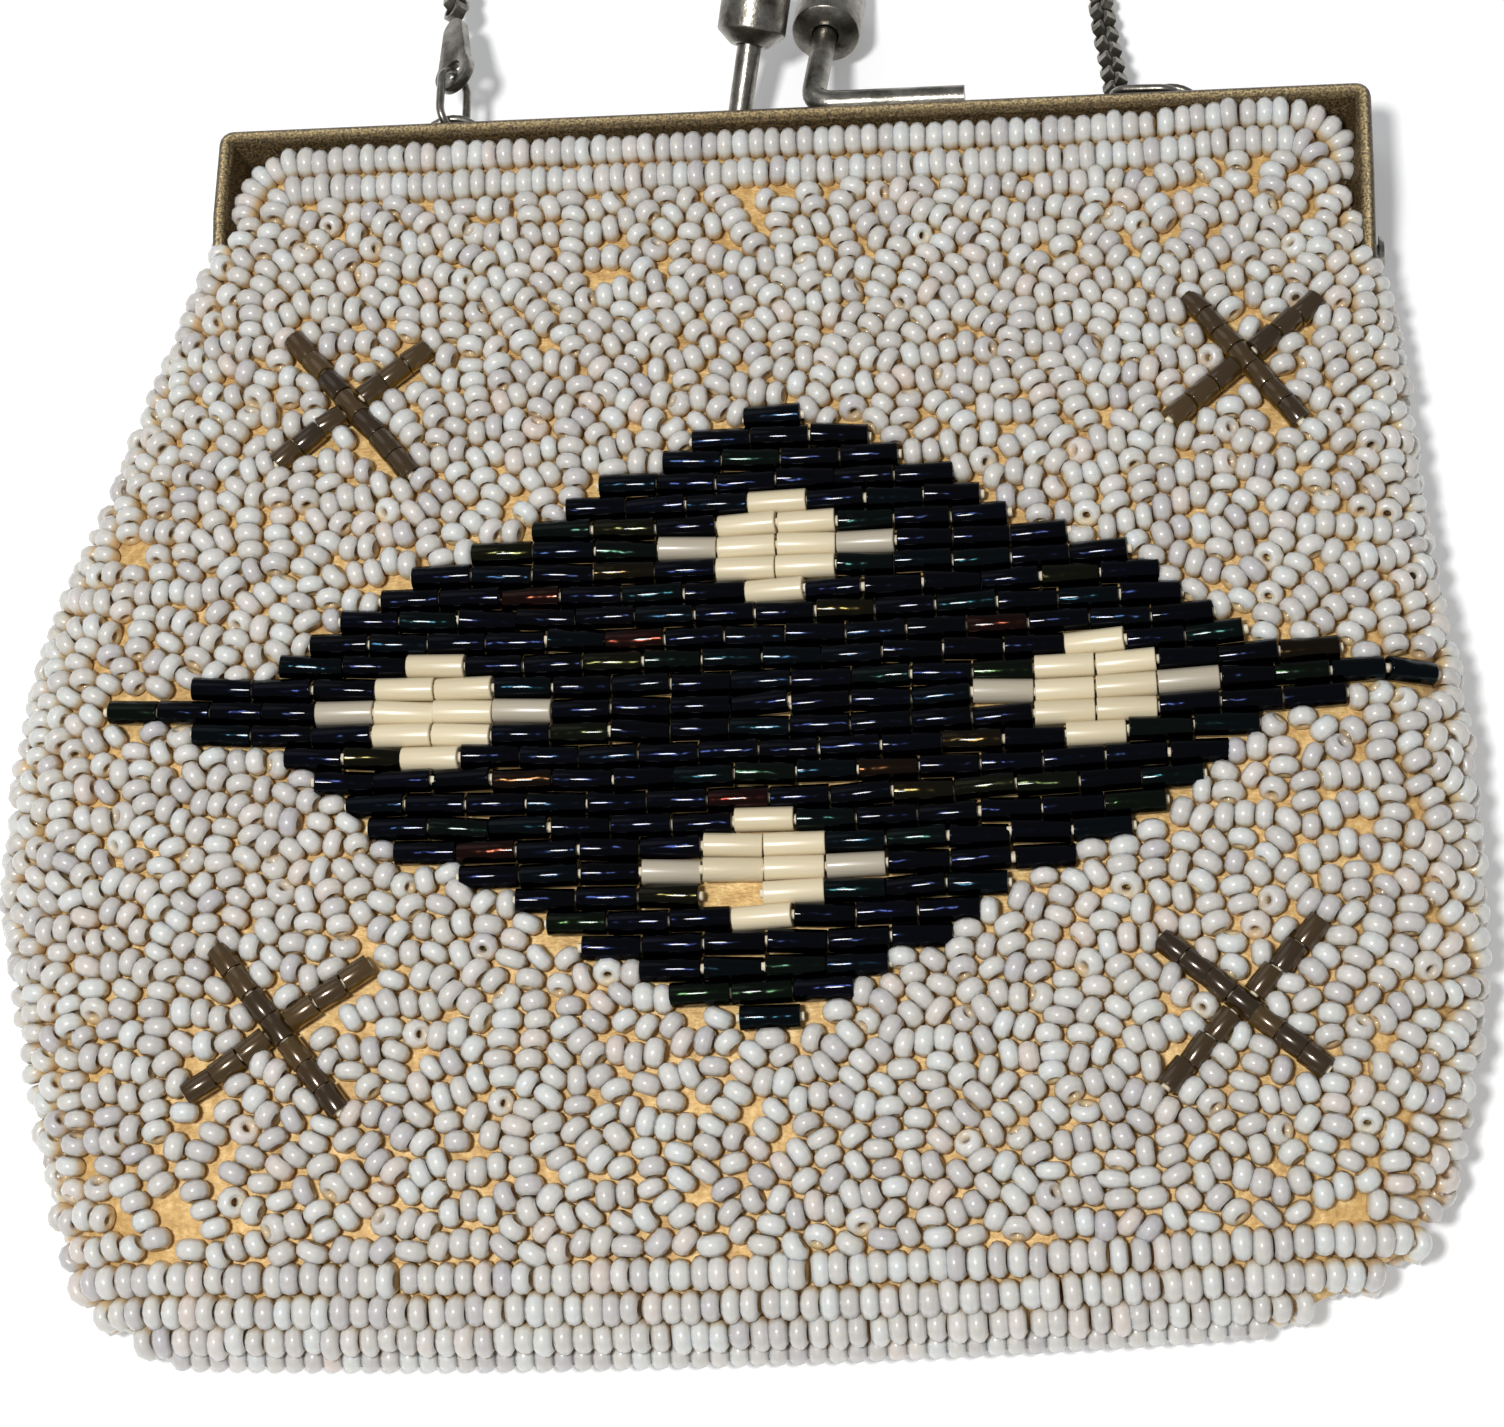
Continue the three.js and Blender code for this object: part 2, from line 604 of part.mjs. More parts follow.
function makeChain() {
  const route = new THREE.CatmullRomCurve3(CHAIN_ROUTE.map(vector), false, 'centripetal');
  return solidOf(wireAlong(route, CHAIN_RADIUS, CHAIN_SIDES, CHAIN_STEPS));
}

// Bugle motifs

function rowStation(row) {
  return MIDDLE_ROW_Y + (DIAMOND_CHART.length / 2 - 0.5 - row) * ROW_PITCH;
}

function bugleRow(row, bugles, middle) {
  const half = (bugles * BUGLE_LENGTH) / 2;
  return { y: rowStation(row), left: middle - half, right: middle + half };
}

// Rows of bugles as one ridged body that follows the pouch's front
function makeField(rows, under, over, shoulder, margin) {
  const reach = Math.max(...rows.map((row) => row.right - row.left));
  const stations = Math.max(2, Math.round(reach / STATION_SPACING) + 1);
  const half = (ROW_PITCH - ROW_STEP) / 2;
  const ring = (row, y, top) => {
    const left = row.left - margin;
    const right = row.right + margin;
    const across = (i) => mix(left, right, i / (stations - 1));
    const points = [];
    for (let i = 0; i < stations; i += 1) points.push(frontPoint(across(i), y, top));
    for (let i = stations - 1; i >= 0; i -= 1) points.push(frontPoint(across(i), y, under));
    return points;
  };
  const rings = [];
  rows.forEach((row, i) => {
    const upper = row.y + half + (i === 0 ? margin : 0);
    const lower = row.y - half - (i === rows.length - 1 ? margin : 0);
    rings.push(ring(row, upper, shoulder));
    if (over > shoulder) rings.push(ring(row, row.y, over));
    rings.push(ring(row, lower, shoulder));
  });
  return solidOf(loft(rings, zippedEnd(2 * stations, true)));
}

function makeMotif(rows) {
  return makeField(rows, BUGLE_UNDER, BUGLE_OVER, BUGLE_SHOULDER, 0);
}

function makeBed(rows, margin) {
  return makeField(rows, BED_DEPTH, BED_TOP, BED_TOP, margin);
}

function lozengeRows({ x, row }) {
  const first = row - (LOZENGE_BUGLES.length - 1) / 2;
  return LOZENGE_BUGLES.map((bugles, i) => bugleRow(first + i, bugles, x));
}

// Bars of one corner cross, laid along the pouch's front
function makeCross(cross, margin) {
  const bars = [[cross.falling, cross.fallingSlope], [cross.rising, cross.risingSlope]];
  const centre = frontPoint(cross.x, cross.y, CROSS_LIFT);
  const [right, up] = [frontPoint(cross.x + 1, cross.y, CROSS_LIFT), frontPoint(cross.x, cross.y + 1, CROSS_LIFT)];
  const across = right.sub(centre);
  const along = up.sub(centre);
  return joined(bars.map(([length, slope]) => {
    const angle = THREE.MathUtils.degToRad(slope);
    const way = across.clone().multiplyScalar(Math.cos(angle)).addScaledVector(along, Math.sin(angle));
    const radius = CROSS_BAR_RADIUS + margin;
    const bar = new THREE.CylinderGeometry(radius, radius, length + 2 * margin, CROSS_BAR_SIDES);
    bar.rotateY(Math.PI / CROSS_BAR_SIDES);
    return solidOf(placed(bar, centre, way, across.clone().cross(along)));
  }));
}

// The whole bag

function makeBag() {
  const bag = new THREE.Group();
  const add = (name, solid, material) => {
    const mesh = new THREE.Mesh(geometryOf(solid), MATERIALS[material]);
    mesh.name = name;
    bag.add(mesh);
  };

  const diamondRows = DIAMOND_CHART.map(({ bugles, middle }, row) => bugleRow(row, bugles, middle));
  const crossBeds = CROSSES.map((cross) => makeCross(cross, BED_MARGIN));
  add('pouch', makePouch([makeBed(diamondRows, BED_MARGIN), ...crossBeds]), 'beadwork');

  const lozengeBeds = LOZENGES.map((lozenge) => makeBed(lozengeRows(lozenge), BED_MARGIN));
  add('bugle_diamond', cutFrom(makeMotif(diamondRows), lozengeBeds), 'dark');
  LOZENGES.forEach((lozenge) => add(lozenge.name, makeMotif(lozengeRows(lozenge)), 'cream'));
  CROSSES.forEach((cross) => add(cross.name, makeCross(cross, 0), 'bronze'));

  const ends = [LEFT_END, RIGHT_END];
  const frontTray = joined([makeTray(1), ...hingeDiscs(OUTER_LUG, LUG_RADIUS)]);
  const backTray = joined([makeTray(-1), ...hingeDiscs(INNER_LUG, LUG_RADIUS)]);
  const innerLugRoom = hingeDiscs({ from: INNER_LUG.from - GAP, to: OUTER_LUG.from }, LUG_RADIUS + GAP);
  const outerLugRoom = hingeDiscs({ from: INNER_LUG.to, to: OUTER_LUG.to + GAP }, LUG_RADIUS + GAP);
  const frontMetal = joined([cutFrom(frontTray, [...innerLugRoom, ...rivetRoom()]), makeFrontStem()]);
  add('front_frame', joined([frontMetal, ...ends.map(makeArch)]), 'brass');
  add('back_frame', cutFrom(backTray, [...outerLugRoom, ...rivetRoom()]).add(makeBackStem()), 'brass');
  add('hinge_rivet_left', makeRivet(-1), 'nickel');
  add('hinge_rivet_right', makeRivet(1), 'nickel');

  const backRoot = new THREE.Vector3(BACK_STEM.x, FRAME_TOP - RIM_WIDTH / 2, BACK_STEM.level);
  const frontRoot = new THREE.Vector3(FRONT_STEM.x, FRAME_TOP + STEM_RADIUS - GAP, FRONT_STEM.level);
  add('back_knob', makeKnob(BACK_STEM, backRoot), 'nickel');
  add('front_knob', makeKnob(FRONT_STEM, frontRoot), 'nickel');

  add('bail_left', makeBail(LEFT_END), 'nickel');
  add('bail_right', makeBail(RIGHT_END), 'nickel');
  add('chain_end_left', makePlate(LEFT_END), 'nickel');
  add('chain', makeChain(), 'nickel');
  return bag;
}

export default makeBag();
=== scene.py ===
# %% [markdown]
# A beaded evening bag lies on its back: a soft pouch covered with glass beads, a square metal frame
# with a kiss lock, and a chain. Its plain solids come from a frame file that fixes every place and
# size. They could be dressed with textures alone, but beads and links are real shapes, so the lesson
# replaces the solids, piece by piece, by what the real bag is made of.

# %% Beaded evening bag: load the fixed frame
import math

import bmesh
import bpy
import numpy as np
from mathutils import Euler, Matrix, Vector


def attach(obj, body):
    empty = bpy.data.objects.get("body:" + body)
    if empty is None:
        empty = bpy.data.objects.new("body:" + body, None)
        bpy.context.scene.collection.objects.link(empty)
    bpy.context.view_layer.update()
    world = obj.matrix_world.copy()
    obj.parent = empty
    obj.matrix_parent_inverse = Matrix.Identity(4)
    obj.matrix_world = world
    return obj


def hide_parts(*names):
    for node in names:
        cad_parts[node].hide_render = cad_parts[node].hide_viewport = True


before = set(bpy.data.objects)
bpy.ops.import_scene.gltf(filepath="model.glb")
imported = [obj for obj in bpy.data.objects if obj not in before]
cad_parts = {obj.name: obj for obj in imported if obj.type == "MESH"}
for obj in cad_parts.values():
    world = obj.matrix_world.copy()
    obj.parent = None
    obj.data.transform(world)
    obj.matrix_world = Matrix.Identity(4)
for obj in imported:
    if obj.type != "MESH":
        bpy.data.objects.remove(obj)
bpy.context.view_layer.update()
MM = 0.001
random = np.random.default_rng(23)
print("frame nodes:", len(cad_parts))

# %% [markdown]
# The camera comes first. The photograph looks down on a bag that lies on its back, from a little
# below its bottom edge and a little to its right. A camera can be aimed with a constraint, but a
# place and three turns, worked out once from the frame's corners and the rows of long beads, keep
# it fixed, so every later piece can be compared with the photograph.

# %% Camera
IMAGE_WIDTH = 1504
FOCAL_PIXELS = 3551
CAMERA_PLACE = Vector((32.55, -96.80, 259.72))
CAMERA_TURN = [math.radians(angle) for angle in (21.09, 7.19, -1.27)]
SENSOR_WIDTH = 36.0

camera = bpy.data.objects.new("camera", bpy.data.cameras.new("camera"))
camera.data.sensor_fit = "HORIZONTAL"
camera.data.sensor_width = SENSOR_WIDTH
camera.data.lens = SENSOR_WIDTH * FOCAL_PIXELS / IMAGE_WIDTH
camera.rotation_mode = "ZYX"
camera.rotation_euler = Euler(CAMERA_TURN, "ZYX")
camera.location = CAMERA_PLACE * MM
bpy.context.scene.collection.objects.link(camera)
bpy.context.scene.camera = camera
print("lens:", round(camera.data.lens, 1), "mm")

# %% [markdown]
# Every piece ends the same way: a mesh drawn in millimetres is scaled to metres, gets smooth
# shading that breaks at sharp edges, and rides on the bag's only body. One helper does that for
# meshes that operators build, and another stamps one small shape hundreds of times into a single
# mesh, because thousands of separate bead objects would be slow.

# %% Helpers that finish a piece
SHARP_ANGLE = math.radians(40)


def place_piece(piece, material, replaced):
    piece.data.materials.append(material)
    bpy.context.scene.collection.objects.link(piece)
    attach(piece, "root")
    if replaced:
        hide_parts(*replaced)
    return piece


def finish_piece(name, bm, material, replaced=()):
    bmesh.ops.recalc_face_normals(bm, faces=bm.faces)
    mesh = bpy.data.meshes.new(name)
    bm.to_mesh(mesh)
    bm.free()
    mesh.transform(Matrix.Scale(MM, 4))
    mesh.polygons.foreach_set("use_smooth", [True] * len(mesh.polygons))
    mesh.set_sharp_from_angle(angle=SHARP_ANGLE)
    print(name, len(mesh.polygons), "faces")
    return place_piece(bpy.data.objects.new(name, mesh), material, replaced)


def shape_arrays(bm):
    """Points and quads of a small shape, ready to be stamped."""
    bmesh.ops.recalc_face_normals(bm, faces=bm.faces)
    bm.verts.index_update()
    points = np.array([v.co[:] for v in bm.verts])
    quads = np.array([[v.index for v in f.verts] for f in bm.faces])
    bm.free()
    return points, quads


def mark_points(mesh, name, values, copies):
    """Attribute with one value for each copy, or one for each point of each copy."""
    points = len(mesh.vertices) // copies
    marks = np.broadcast_to(np.reshape(values, (copies, -1)), (copies, points))
    attribute = mesh.attributes.new(name, "FLOAT", "POINT")
    attribute.data.foreach_set("value", marks.astype(np.float32).ravel())


def stamp(name, shape, turns, places, tones, material, replaced=()):
    """One mesh with the shape at every place, and a tone for each copy or point."""
    points, quads = shape
    copies = len(places)
    corners = (np.einsum("nij,vj->nvi", turns, points) + places[:, None]) * MM
    faces = quads[None] + (np.arange(copies) * len(points))[:, None, None]
    mesh = bpy.data.meshes.new(name)
    mesh.vertices.add(copies * len(points))
    mesh.vertices.foreach_set("co", corners.ravel())
    mesh.loops.add(faces.size)
    mesh.loops.foreach_set("vertex_index", faces.ravel())
    mesh.polygons.add(faces.size // 4)
    mesh.polygons.foreach_set("loop_start", np.arange(0, faces.size, 4))
    mesh.update(calc_edges=True)
    mesh.polygons.foreach_set("use_smooth", [True] * len(mesh.polygons))
    mark_points(mesh, "tone", tones, copies)
    print(name, copies, "copies,", 2 * len(mesh.polygons), "triangles")
    return place_piece(bpy.data.objects.new(name, mesh), material, replaced)


def unit(vectors):
    return vectors / np.linalg.norm(vectors, axis=-1, keepdims=True)


print("edges look sharp over", round(math.degrees(SHARP_ANGLE)), "degrees")

# %% [markdown]
# The pouch is the soft form that carries every bead. Its front and back could be sculpted, but a
# short table of sections, one row for each height up the bag, is easier to fit to a photograph.
# The columns are smoothed so that the cloth has no corners.

# %% Sections of the pouch
SECTION_COLUMNS = ("y", "left", "right", "front", "back", "square")
SECTION_TABLE = np.array([
    [50.1, -45.4, 45.4, 9.4, 1.0, 40],
    [44.4, -45.7, 45.4, 9.6, 0.7, 40],
    [42.6, -46.8, 45.5, 9.9, 0.5, 34],
    [40.4, -47.9, 45.9, 10.0, 0.4, 28],
    [37.6, -48.7, 46.9, 10.1, 0.3, 22],
    [35.0, -49.5, 47.4, 10.2, 0.1, 16],
    [32.4, -50.4, 47.9, 10.4, 0.0, 12],
    [26.0, -52.3, 48.6, 10.8, 0.0, 12],
    [18.0, -54.6, 49.1, 11.1, 0.0, 12],
    [10.0, -57.3, 49.8, 11.3, 0.0, 12],
    [2.0, -58.9, 51.2, 11.4, 0.0, 12],
    [-6.0, -59.5, 52.0, 11.4, 0.0, 12],
    [-14.0, -59.3, 52.4, 11.2, 0.0, 12],
    [-22.0, -57.6, 52.4, 10.8, 0.0, 12],
    [-30.0, -55.5, 51.4, 10.2, 0.0, 10],
    [-37.0, -53.7, 49.8, 9.4, 0.0, 9],
    [-41.5, -52.2, 48.4, 8.5, 0.1, 8],
    [-44.4, -50.6, 46.4, 7.4, 0.6, 7],
    [-46.6, -47.8, 41.8, 5.9, 1.6, 6],
    [-47.4, -44.6, 37.6, 4.6, 2.6, 5],
])[::-1]
SIDE_LEVEL = 0.45
BACK_SQUARE = 16
BODY_TWIST = 0.034
ROW_SAG = 1.4
ROW_SAG_REACH = 50.0
STATION_STEP = 0.25
SMOOTHING = 17

POUCH_BOTTOM, POUCH_TOP = SECTION_TABLE[0, 0], SECTION_TABLE[-1, 0]
STATIONS = np.arange(POUCH_BOTTOM, POUCH_TOP + STATION_STEP, STATION_STEP)


def smooth_column(name):
    column = np.interp(STATIONS, SECTION_TABLE[:, 0], SECTION_TABLE[:, SECTION_COLUMNS.index(name)])
    weights = np.hanning(SMOOTHING + 2)[1:-1]
    return np.convolve(np.pad(column, SMOOTHING // 2, mode="edge"), weights / weights.sum(), "valid")


left, right = smooth_column("left"), smooth_column("right")
MIDDLES, HALVES = (left + right) / 2, (right - left) / 2
FRONTS, BACKS, SQUARES = smooth_column("front"), smooth_column("back"), smooth_column("square")


def row_rise(x, y):
    """How far a row lies above its station: the bag is twisted a little, and rows sag in the middle."""
    share = (POUCH_TOP - y) / (POUCH_TOP - POUCH_BOTTOM)
    sag = ROW_SAG * (x / ROW_SAG_REACH) ** 2
    return BODY_TWIST * x * share + sag * np.clip(2 * share, 0, 1)


print("pouch sections:", len(STATIONS), "at most", (2 * HALVES.max()).round(1), "mm wide")

# %% [markdown]
# Beads are laid out on a flat panel and then wrapped round the bag. For that each section is drawn by
# its arc length, so that a step across the flat panel is a step of the same length on the cloth, and
# the beads keep their distances where the pouch curves down to its sides.

# %% Front and back panels


class Panel:
    """One face of the pouch as a flat sheet: s is the length across it, y the station up the bag."""

    SECTION_SAMPLES = 401
    ARC_SAMPLES = 161
    LAST_CELL = 1.001

    def __init__(self, edge_heights, squares):
        levels = BACKS + (FRONTS - BACKS) * SIDE_LEVEL
        shares = np.sin(np.linspace(-math.pi / 2, math.pi / 2, self.SECTION_SAMPLES))
        bulge = np.sqrt(np.clip(1 - np.abs(shares)[None] ** squares[:, None], 0, 1))
        z = levels[:, None] + (edge_heights - levels)[:, None] * bulge
        x = MIDDLES[:, None] + HALVES[:, None] * shares[None]
        steps = np.hypot(np.diff(x, axis=1), np.diff(z, axis=1))
        arcs = np.concatenate([np.zeros((len(x), 1)), np.cumsum(steps, axis=1)], axis=1)
        self.reach = arcs[:, -1] / 2
        even = np.linspace(0, 1, self.ARC_SAMPLES)
        self.x = np.array([np.interp(even * a[-1], a, row) for a, row in zip(arcs, x)])
        self.z = np.array([np.interp(even * a[-1], a, row) for a, row in zip(arcs, z)])

    def half_width(self, y):
        return np.interp(y, STATIONS, self.reach)

    def middle(self, y):
        return np.interp(y, STATIONS, MIDDLES)

    def point(self, s, y):
        """Points on the panel for lengths s across it at the stations y."""
        row = np.clip((y - STATIONS[0]) / STATION_STEP, 0, len(STATIONS) - self.LAST_CELL)
        across = 0.5 + 0.5 * (s - self.middle(y)) / self.half_width(y)
        column = np.clip(across, 0, 1) * (self.ARC_SAMPLES - self.LAST_CELL)
        i, j = row.astype(int), column.astype(int)
        u, v = row - i, column - j
        found = []
        for grid in (self.x, self.z):
            low = grid[i, j] * (1 - v) + grid[i, j + 1] * v
            high = grid[i + 1, j] * (1 - v) + grid[i + 1, j + 1] * v
            found.append(low * (1 - u) + high * u)
        x, z = found
        return np.stack([x, y + row_rise(x, y), z], -1)

    def ways(self, s, y, step=0.4):
        """Unit vectors across, up and out of the panel."""
        across = unit(self.point(s + step, y) - self.point(s - step, y))
        up = self.point(s, y + step) - self.point(s, y - step)
        up = unit(up - across * np.sum(across * up, -1, keepdims=True))
        return across, up, np.cross(across, up)


front_panel = Panel(FRONTS, SQUARES)
back_panel = Panel(BACKS, np.full(len(STATIONS), BACK_SQUARE))
narrowest, widest = front_panel.reach.min(), front_panel.reach.max()
print("front panel half width:", narrowest.round(1), "to", widest.round(1), "mm")

# %% [markdown]
# Materials are built as short functions. Seed beads and bugles vary from bead to bead, so each
# copy carries a tone from 0 to 1 in an attribute, and a colour ramp turns it into a shade. The
# numbers that are the same all over a bead, such as its gloss, are set on the shader itself.

# %% Material helpers


def new_material(name):
    material = bpy.data.materials.new(name)
    material.use_nodes = True
    return material, material.node_tree, material.node_tree.nodes["Principled BSDF"]


def set_values(shader, **values):
    for name, value in values.items():
        shader.inputs[name.replace("_", " ")].default_value = value


def colour_ramp(tree, stops, interpolation="LINEAR"):
    ramp = tree.nodes.new("ShaderNodeValToRGB")
    ramp.color_ramp.interpolation = interpolation
    while len(ramp.color_ramp.elements) < len(stops):
        ramp.color_ramp.elements.new(0.5)
    for element, (position, colour) in zip(ramp.color_ramp.elements, stops):
        element.position = position
        element.color = (*colour, 1)
    return ramp


def mark_of(tree, name="tone"):
    attribute = tree.nodes.new("ShaderNodeAttribute")
    attribute.attribute_name = name
    return attribute.outputs["Fac"]


def multiplied(tree, first, second):
    mix = tree.nodes.new("ShaderNodeMix")
    mix.data_type = "RGBA"
    mix.blend_type = "MULTIPLY"
    mix.inputs["Factor"].default_value = 1.0
    tree.links.new(first, mix.inputs["A"])
    tree.links.new(second, mix.inputs["B"])
    return mix.outputs["Result"]


def bump(tree, shader, height, strength, distance):
    node = tree.nodes.new("ShaderNodeBump")
    node.inputs["Strength"].default_value = strength
    node.inputs["Distance"].default_value = distance
    tree.links.new(height, node.inputs["Height"])
    tree.links.new(node.outputs["Normal"], shader.inputs["Normal"])


print("materials to start with:", len(bpy.data.materials))

# %% [markdown]
# Grain occurs in cloth, thread, glass and metal alike. Each material could hold its own noise, but
# one node group with named inputs is built once and placed in each material with its own values. It
# reads Object coordinates, so the grain stays on the piece, and counts them in millimetres.

# %% Grain that materials share


def grain_group():
    """Group shared by cloth, thread, glass and metal: noise on object coordinates in millimetres."""
    group = bpy.data.node_groups.new("grain", "ShaderNodeTree")
    group.interface.new_socket("Scale", in_out="INPUT", socket_type="NodeSocketVector")
    group.interface.new_socket("Detail", in_out="INPUT", socket_type="NodeSocketFloat")
    group.interface.new_socket("Roughness", in_out="INPUT", socket_type="NodeSocketFloat")
    group.interface.new_socket("Fac", in_out="OUTPUT", socket_type="NodeSocketFloat")
    given = group.nodes.new("NodeGroupInput")
    place = group.nodes.new("ShaderNodeTexCoord")
    millimetres = group.nodes.new("ShaderNodeMapping")
    millimetres.inputs["Scale"].default_value = (1 / MM, 1 / MM, 1 / MM)
    stretched = group.nodes.new("ShaderNodeVectorMath")
    stretched.operation = "MULTIPLY"
    texture = group.nodes.new("ShaderNodeTexNoise")
    texture.inputs["Scale"].default_value = 1
    put_out = group.nodes.new("NodeGroupOutput")
    group.links.new(place.outputs["Object"], millimetres.inputs["Vector"])
    group.links.new(millimetres.outputs["Vector"], stretched.inputs[0])
    group.links.new(given.outputs["Scale"], stretched.inputs[1])
    group.links.new(stretched.outputs["Vector"], texture.inputs["Vector"])
    group.links.new(given.outputs["Detail"], texture.inputs["Detail"])
    group.links.new(given.outputs["Roughness"], texture.inputs["Roughness"])
    group.links.new(texture.outputs["Fac"], put_out.inputs["Fac"])
    return group


GRAIN = grain_group()


def noise(tree, scale, detail, roughness=0.5, stretch=(1, 1, 1)):
    """The shared grain in a material, with its scale in copies per millimetre."""
    grain = tree.nodes.new("ShaderNodeGroup")
    grain.node_tree = GRAIN
    grain.inputs["Scale"].default_value = [scale * share for share in stretch]
    grain.inputs["Detail"].default_value = detail
    grain.inputs["Roughness"].default_value = roughness
    return grain


print("node group:", GRAIN.name)

# %% [markdown]
# The seed beads are milky glass with a pearl lustre, some a little pink, blue or cream. A
# see-through shader would need many samples. Light that scatters under a clear coat gives the same
# soft glow. The gold cloth would shine through the foot of each bead, so a second attribute paints
# that light into the colour there: a painted warm glow.

# %% Pearl glass


def pearl_glass():
    """Painted glow: a bead's colour is warmed at its foot, where light from the gold cloth would shine
    through.
    """
    material, tree, shader = new_material("pearl_seed_beads")
    ramp = colour_ramp(tree, [
        (0.0, (0.50, 0.485, 0.50)), (0.25, (0.56, 0.54, 0.52)), (0.5, (0.61, 0.59, 0.55)),
        (0.75, (0.65, 0.665, 0.65)), (1.0, (0.65, 0.56, 0.50)),
    ])
    tree.links.new(mark_of(tree), ramp.inputs["Fac"])
    # Painted glow: the foot attribute warms the colour as if light from the gold cloth came through.
    painted_cloth_glow = colour_ramp(tree, [(0.0, (1, 1, 1)), (0.45, (1, 0.96, 0.88)), (1.0, (1, 0.74, 0.42))])
    tree.links.new(mark_of(tree, "foot"), painted_cloth_glow.inputs["Fac"])
    colour = multiplied(tree, ramp.outputs["Color"], painted_cloth_glow.outputs["Color"])
    tree.links.new(colour, shader.inputs["Base Color"])
    set_values(shader, Roughness=0.42, Coat_Weight=0.7, Coat_Roughness=0.14)
    set_values(shader, Subsurface_Weight=0.7, Subsurface_Radius=(1, 0.8, 0.55))
    set_values(shader, Subsurface_Scale=0.9 * MM)
    return material


PEARL = pearl_glass()
print("material:", PEARL.name)

# %% [markdown]
# The bag is sewn of gold satin, mottled by wear, with a fine weave, and the beads hang on a cream
# cotton thread. A woven pattern could be drawn with waves, but between the beads only its flecks
# show, so two sizes of grain are enough: a large one for the colour and a small one for the bump.

# %% Satin and thread


def gold_satin():
    material, tree, shader = new_material("gold_satin")
    shade = noise(tree, 1.1, 5, 0.65)
    ramp = colour_ramp(tree, [
        (0.32, (0.50, 0.29, 0.09)), (0.5, (0.68, 0.44, 0.16)), (0.68, (0.92, 0.66, 0.30)),
    ])
    tree.links.new(shade.outputs["Fac"], ramp.inputs["Fac"])
    tree.links.new(ramp.outputs["Color"], shader.inputs["Base Color"])
    weave = noise(tree, 3.0, 3, stretch=(0.7, 1.4, 1))
    bump(tree, shader, weave.outputs["Fac"], 0.8, 0.15 * MM)
    set_values(shader, Roughness=0.55, Metallic=0.1, Sheen_Weight=0.3)
    return material


def cotton_thread():
    material, tree, shader = new_material("cream_thread")
    fibres = noise(tree, 3.0, 3)
    ramp = colour_ramp(tree, [(0.3, (0.66, 0.56, 0.38)), (0.7, (0.84, 0.76, 0.60))])
    tree.links.new(fibres.outputs["Fac"], ramp.inputs["Fac"])
    tree.links.new(ramp.outputs["Color"], shader.inputs["Base Color"])
    set_values(shader, Roughness=0.8)
    return material


SATIN, THREAD = gold_satin(), cotton_thread()
print("materials:", SATIN.name, THREAD.name)

# %% [markdown]
# The bugles are of three kinds: black glass with an oily lustre that turns blue, green or red from
# bead to bead, satin cream glass, and clear brown glass. All three take their shade from the tone
# of each bead. The dark kind counts as metal, because only its reflections have a colour.

# %% Bugle glass


def iris_glass():
    material, tree, shader = new_material("iris_bugles")
    ramp = colour_ramp(tree, [
        (0.0, (0.001, 0.0014, 0.004)), (0.45, (0.0016, 0.0024, 0.008)), (0.7, (0.0015, 0.006, 0.007)),
        (0.85, (0.005, 0.010, 0.004)), (0.95, (0.016, 0.012, 0.004)), (1.0, (0.022, 0.004, 0.003)),
    ])
    tree.links.new(mark_of(tree), ramp.inputs["Fac"])
    tree.links.new(ramp.outputs["Color"], shader.inputs["Base Color"])
    waves = noise(tree, 0.3, 2)
    bump(tree, shader, waves.outputs["Fac"], 1.0, 0.5 * MM)
    set_values(shader, Roughness=0.16, Metallic=1.0, Coat_Weight=0.22, Coat_Roughness=0.05)
    return material


def cream_glass():
    material, tree, shader = new_material("cream_bugles")
    ramp = colour_ramp(tree, [
        (0.0, (0.42, 0.37, 0.29)), (0.4, (0.63, 0.54, 0.36)), (1.0, (0.73, 0.63, 0.43)),
    ])
    tree.links.new(mark_of(tree), ramp.inputs["Fac"])
    tree.links.new(ramp.outputs["Color"], shader.inputs["Base Color"])
    grooves = noise(tree, 2.5, 2, stretch=(0.1, 1.6, 1.6))
    bump(tree, shader, grooves.outputs["Fac"], 0.25, 0.1 * MM)
    set_values(shader, Roughness=0.36, Coat_Weight=0.35, Coat_Roughness=0.2)
    return material


def bronze_glass():
    material, tree, shader = new_material("bronze_bugles")
    # Tone 1 is amber, painted light where the glass would let light through at the sides of a tube.
    ramp = colour_ramp(tree, [
        (0.0, (0.030, 0.016, 0.006)), (0.6, (0.085, 0.048, 0.014)), (1.0, (0.26, 0.14, 0.014)),
    ])
    tree.links.new(mark_of(tree), ramp.inputs["Fac"])
    tree.links.new(ramp.outputs["Color"], shader.inputs["Base Color"])
    set_values(shader, Roughness=0.2, Metallic=0.3, Coat_Weight=0.4, Coat_Roughness=0.06)
    return material


IRIS, CREAM, BRONZE = iris_glass(), cream_glass(), bronze_glass()
print("materials:", IRIS.name, CREAM.name, BRONZE.name)
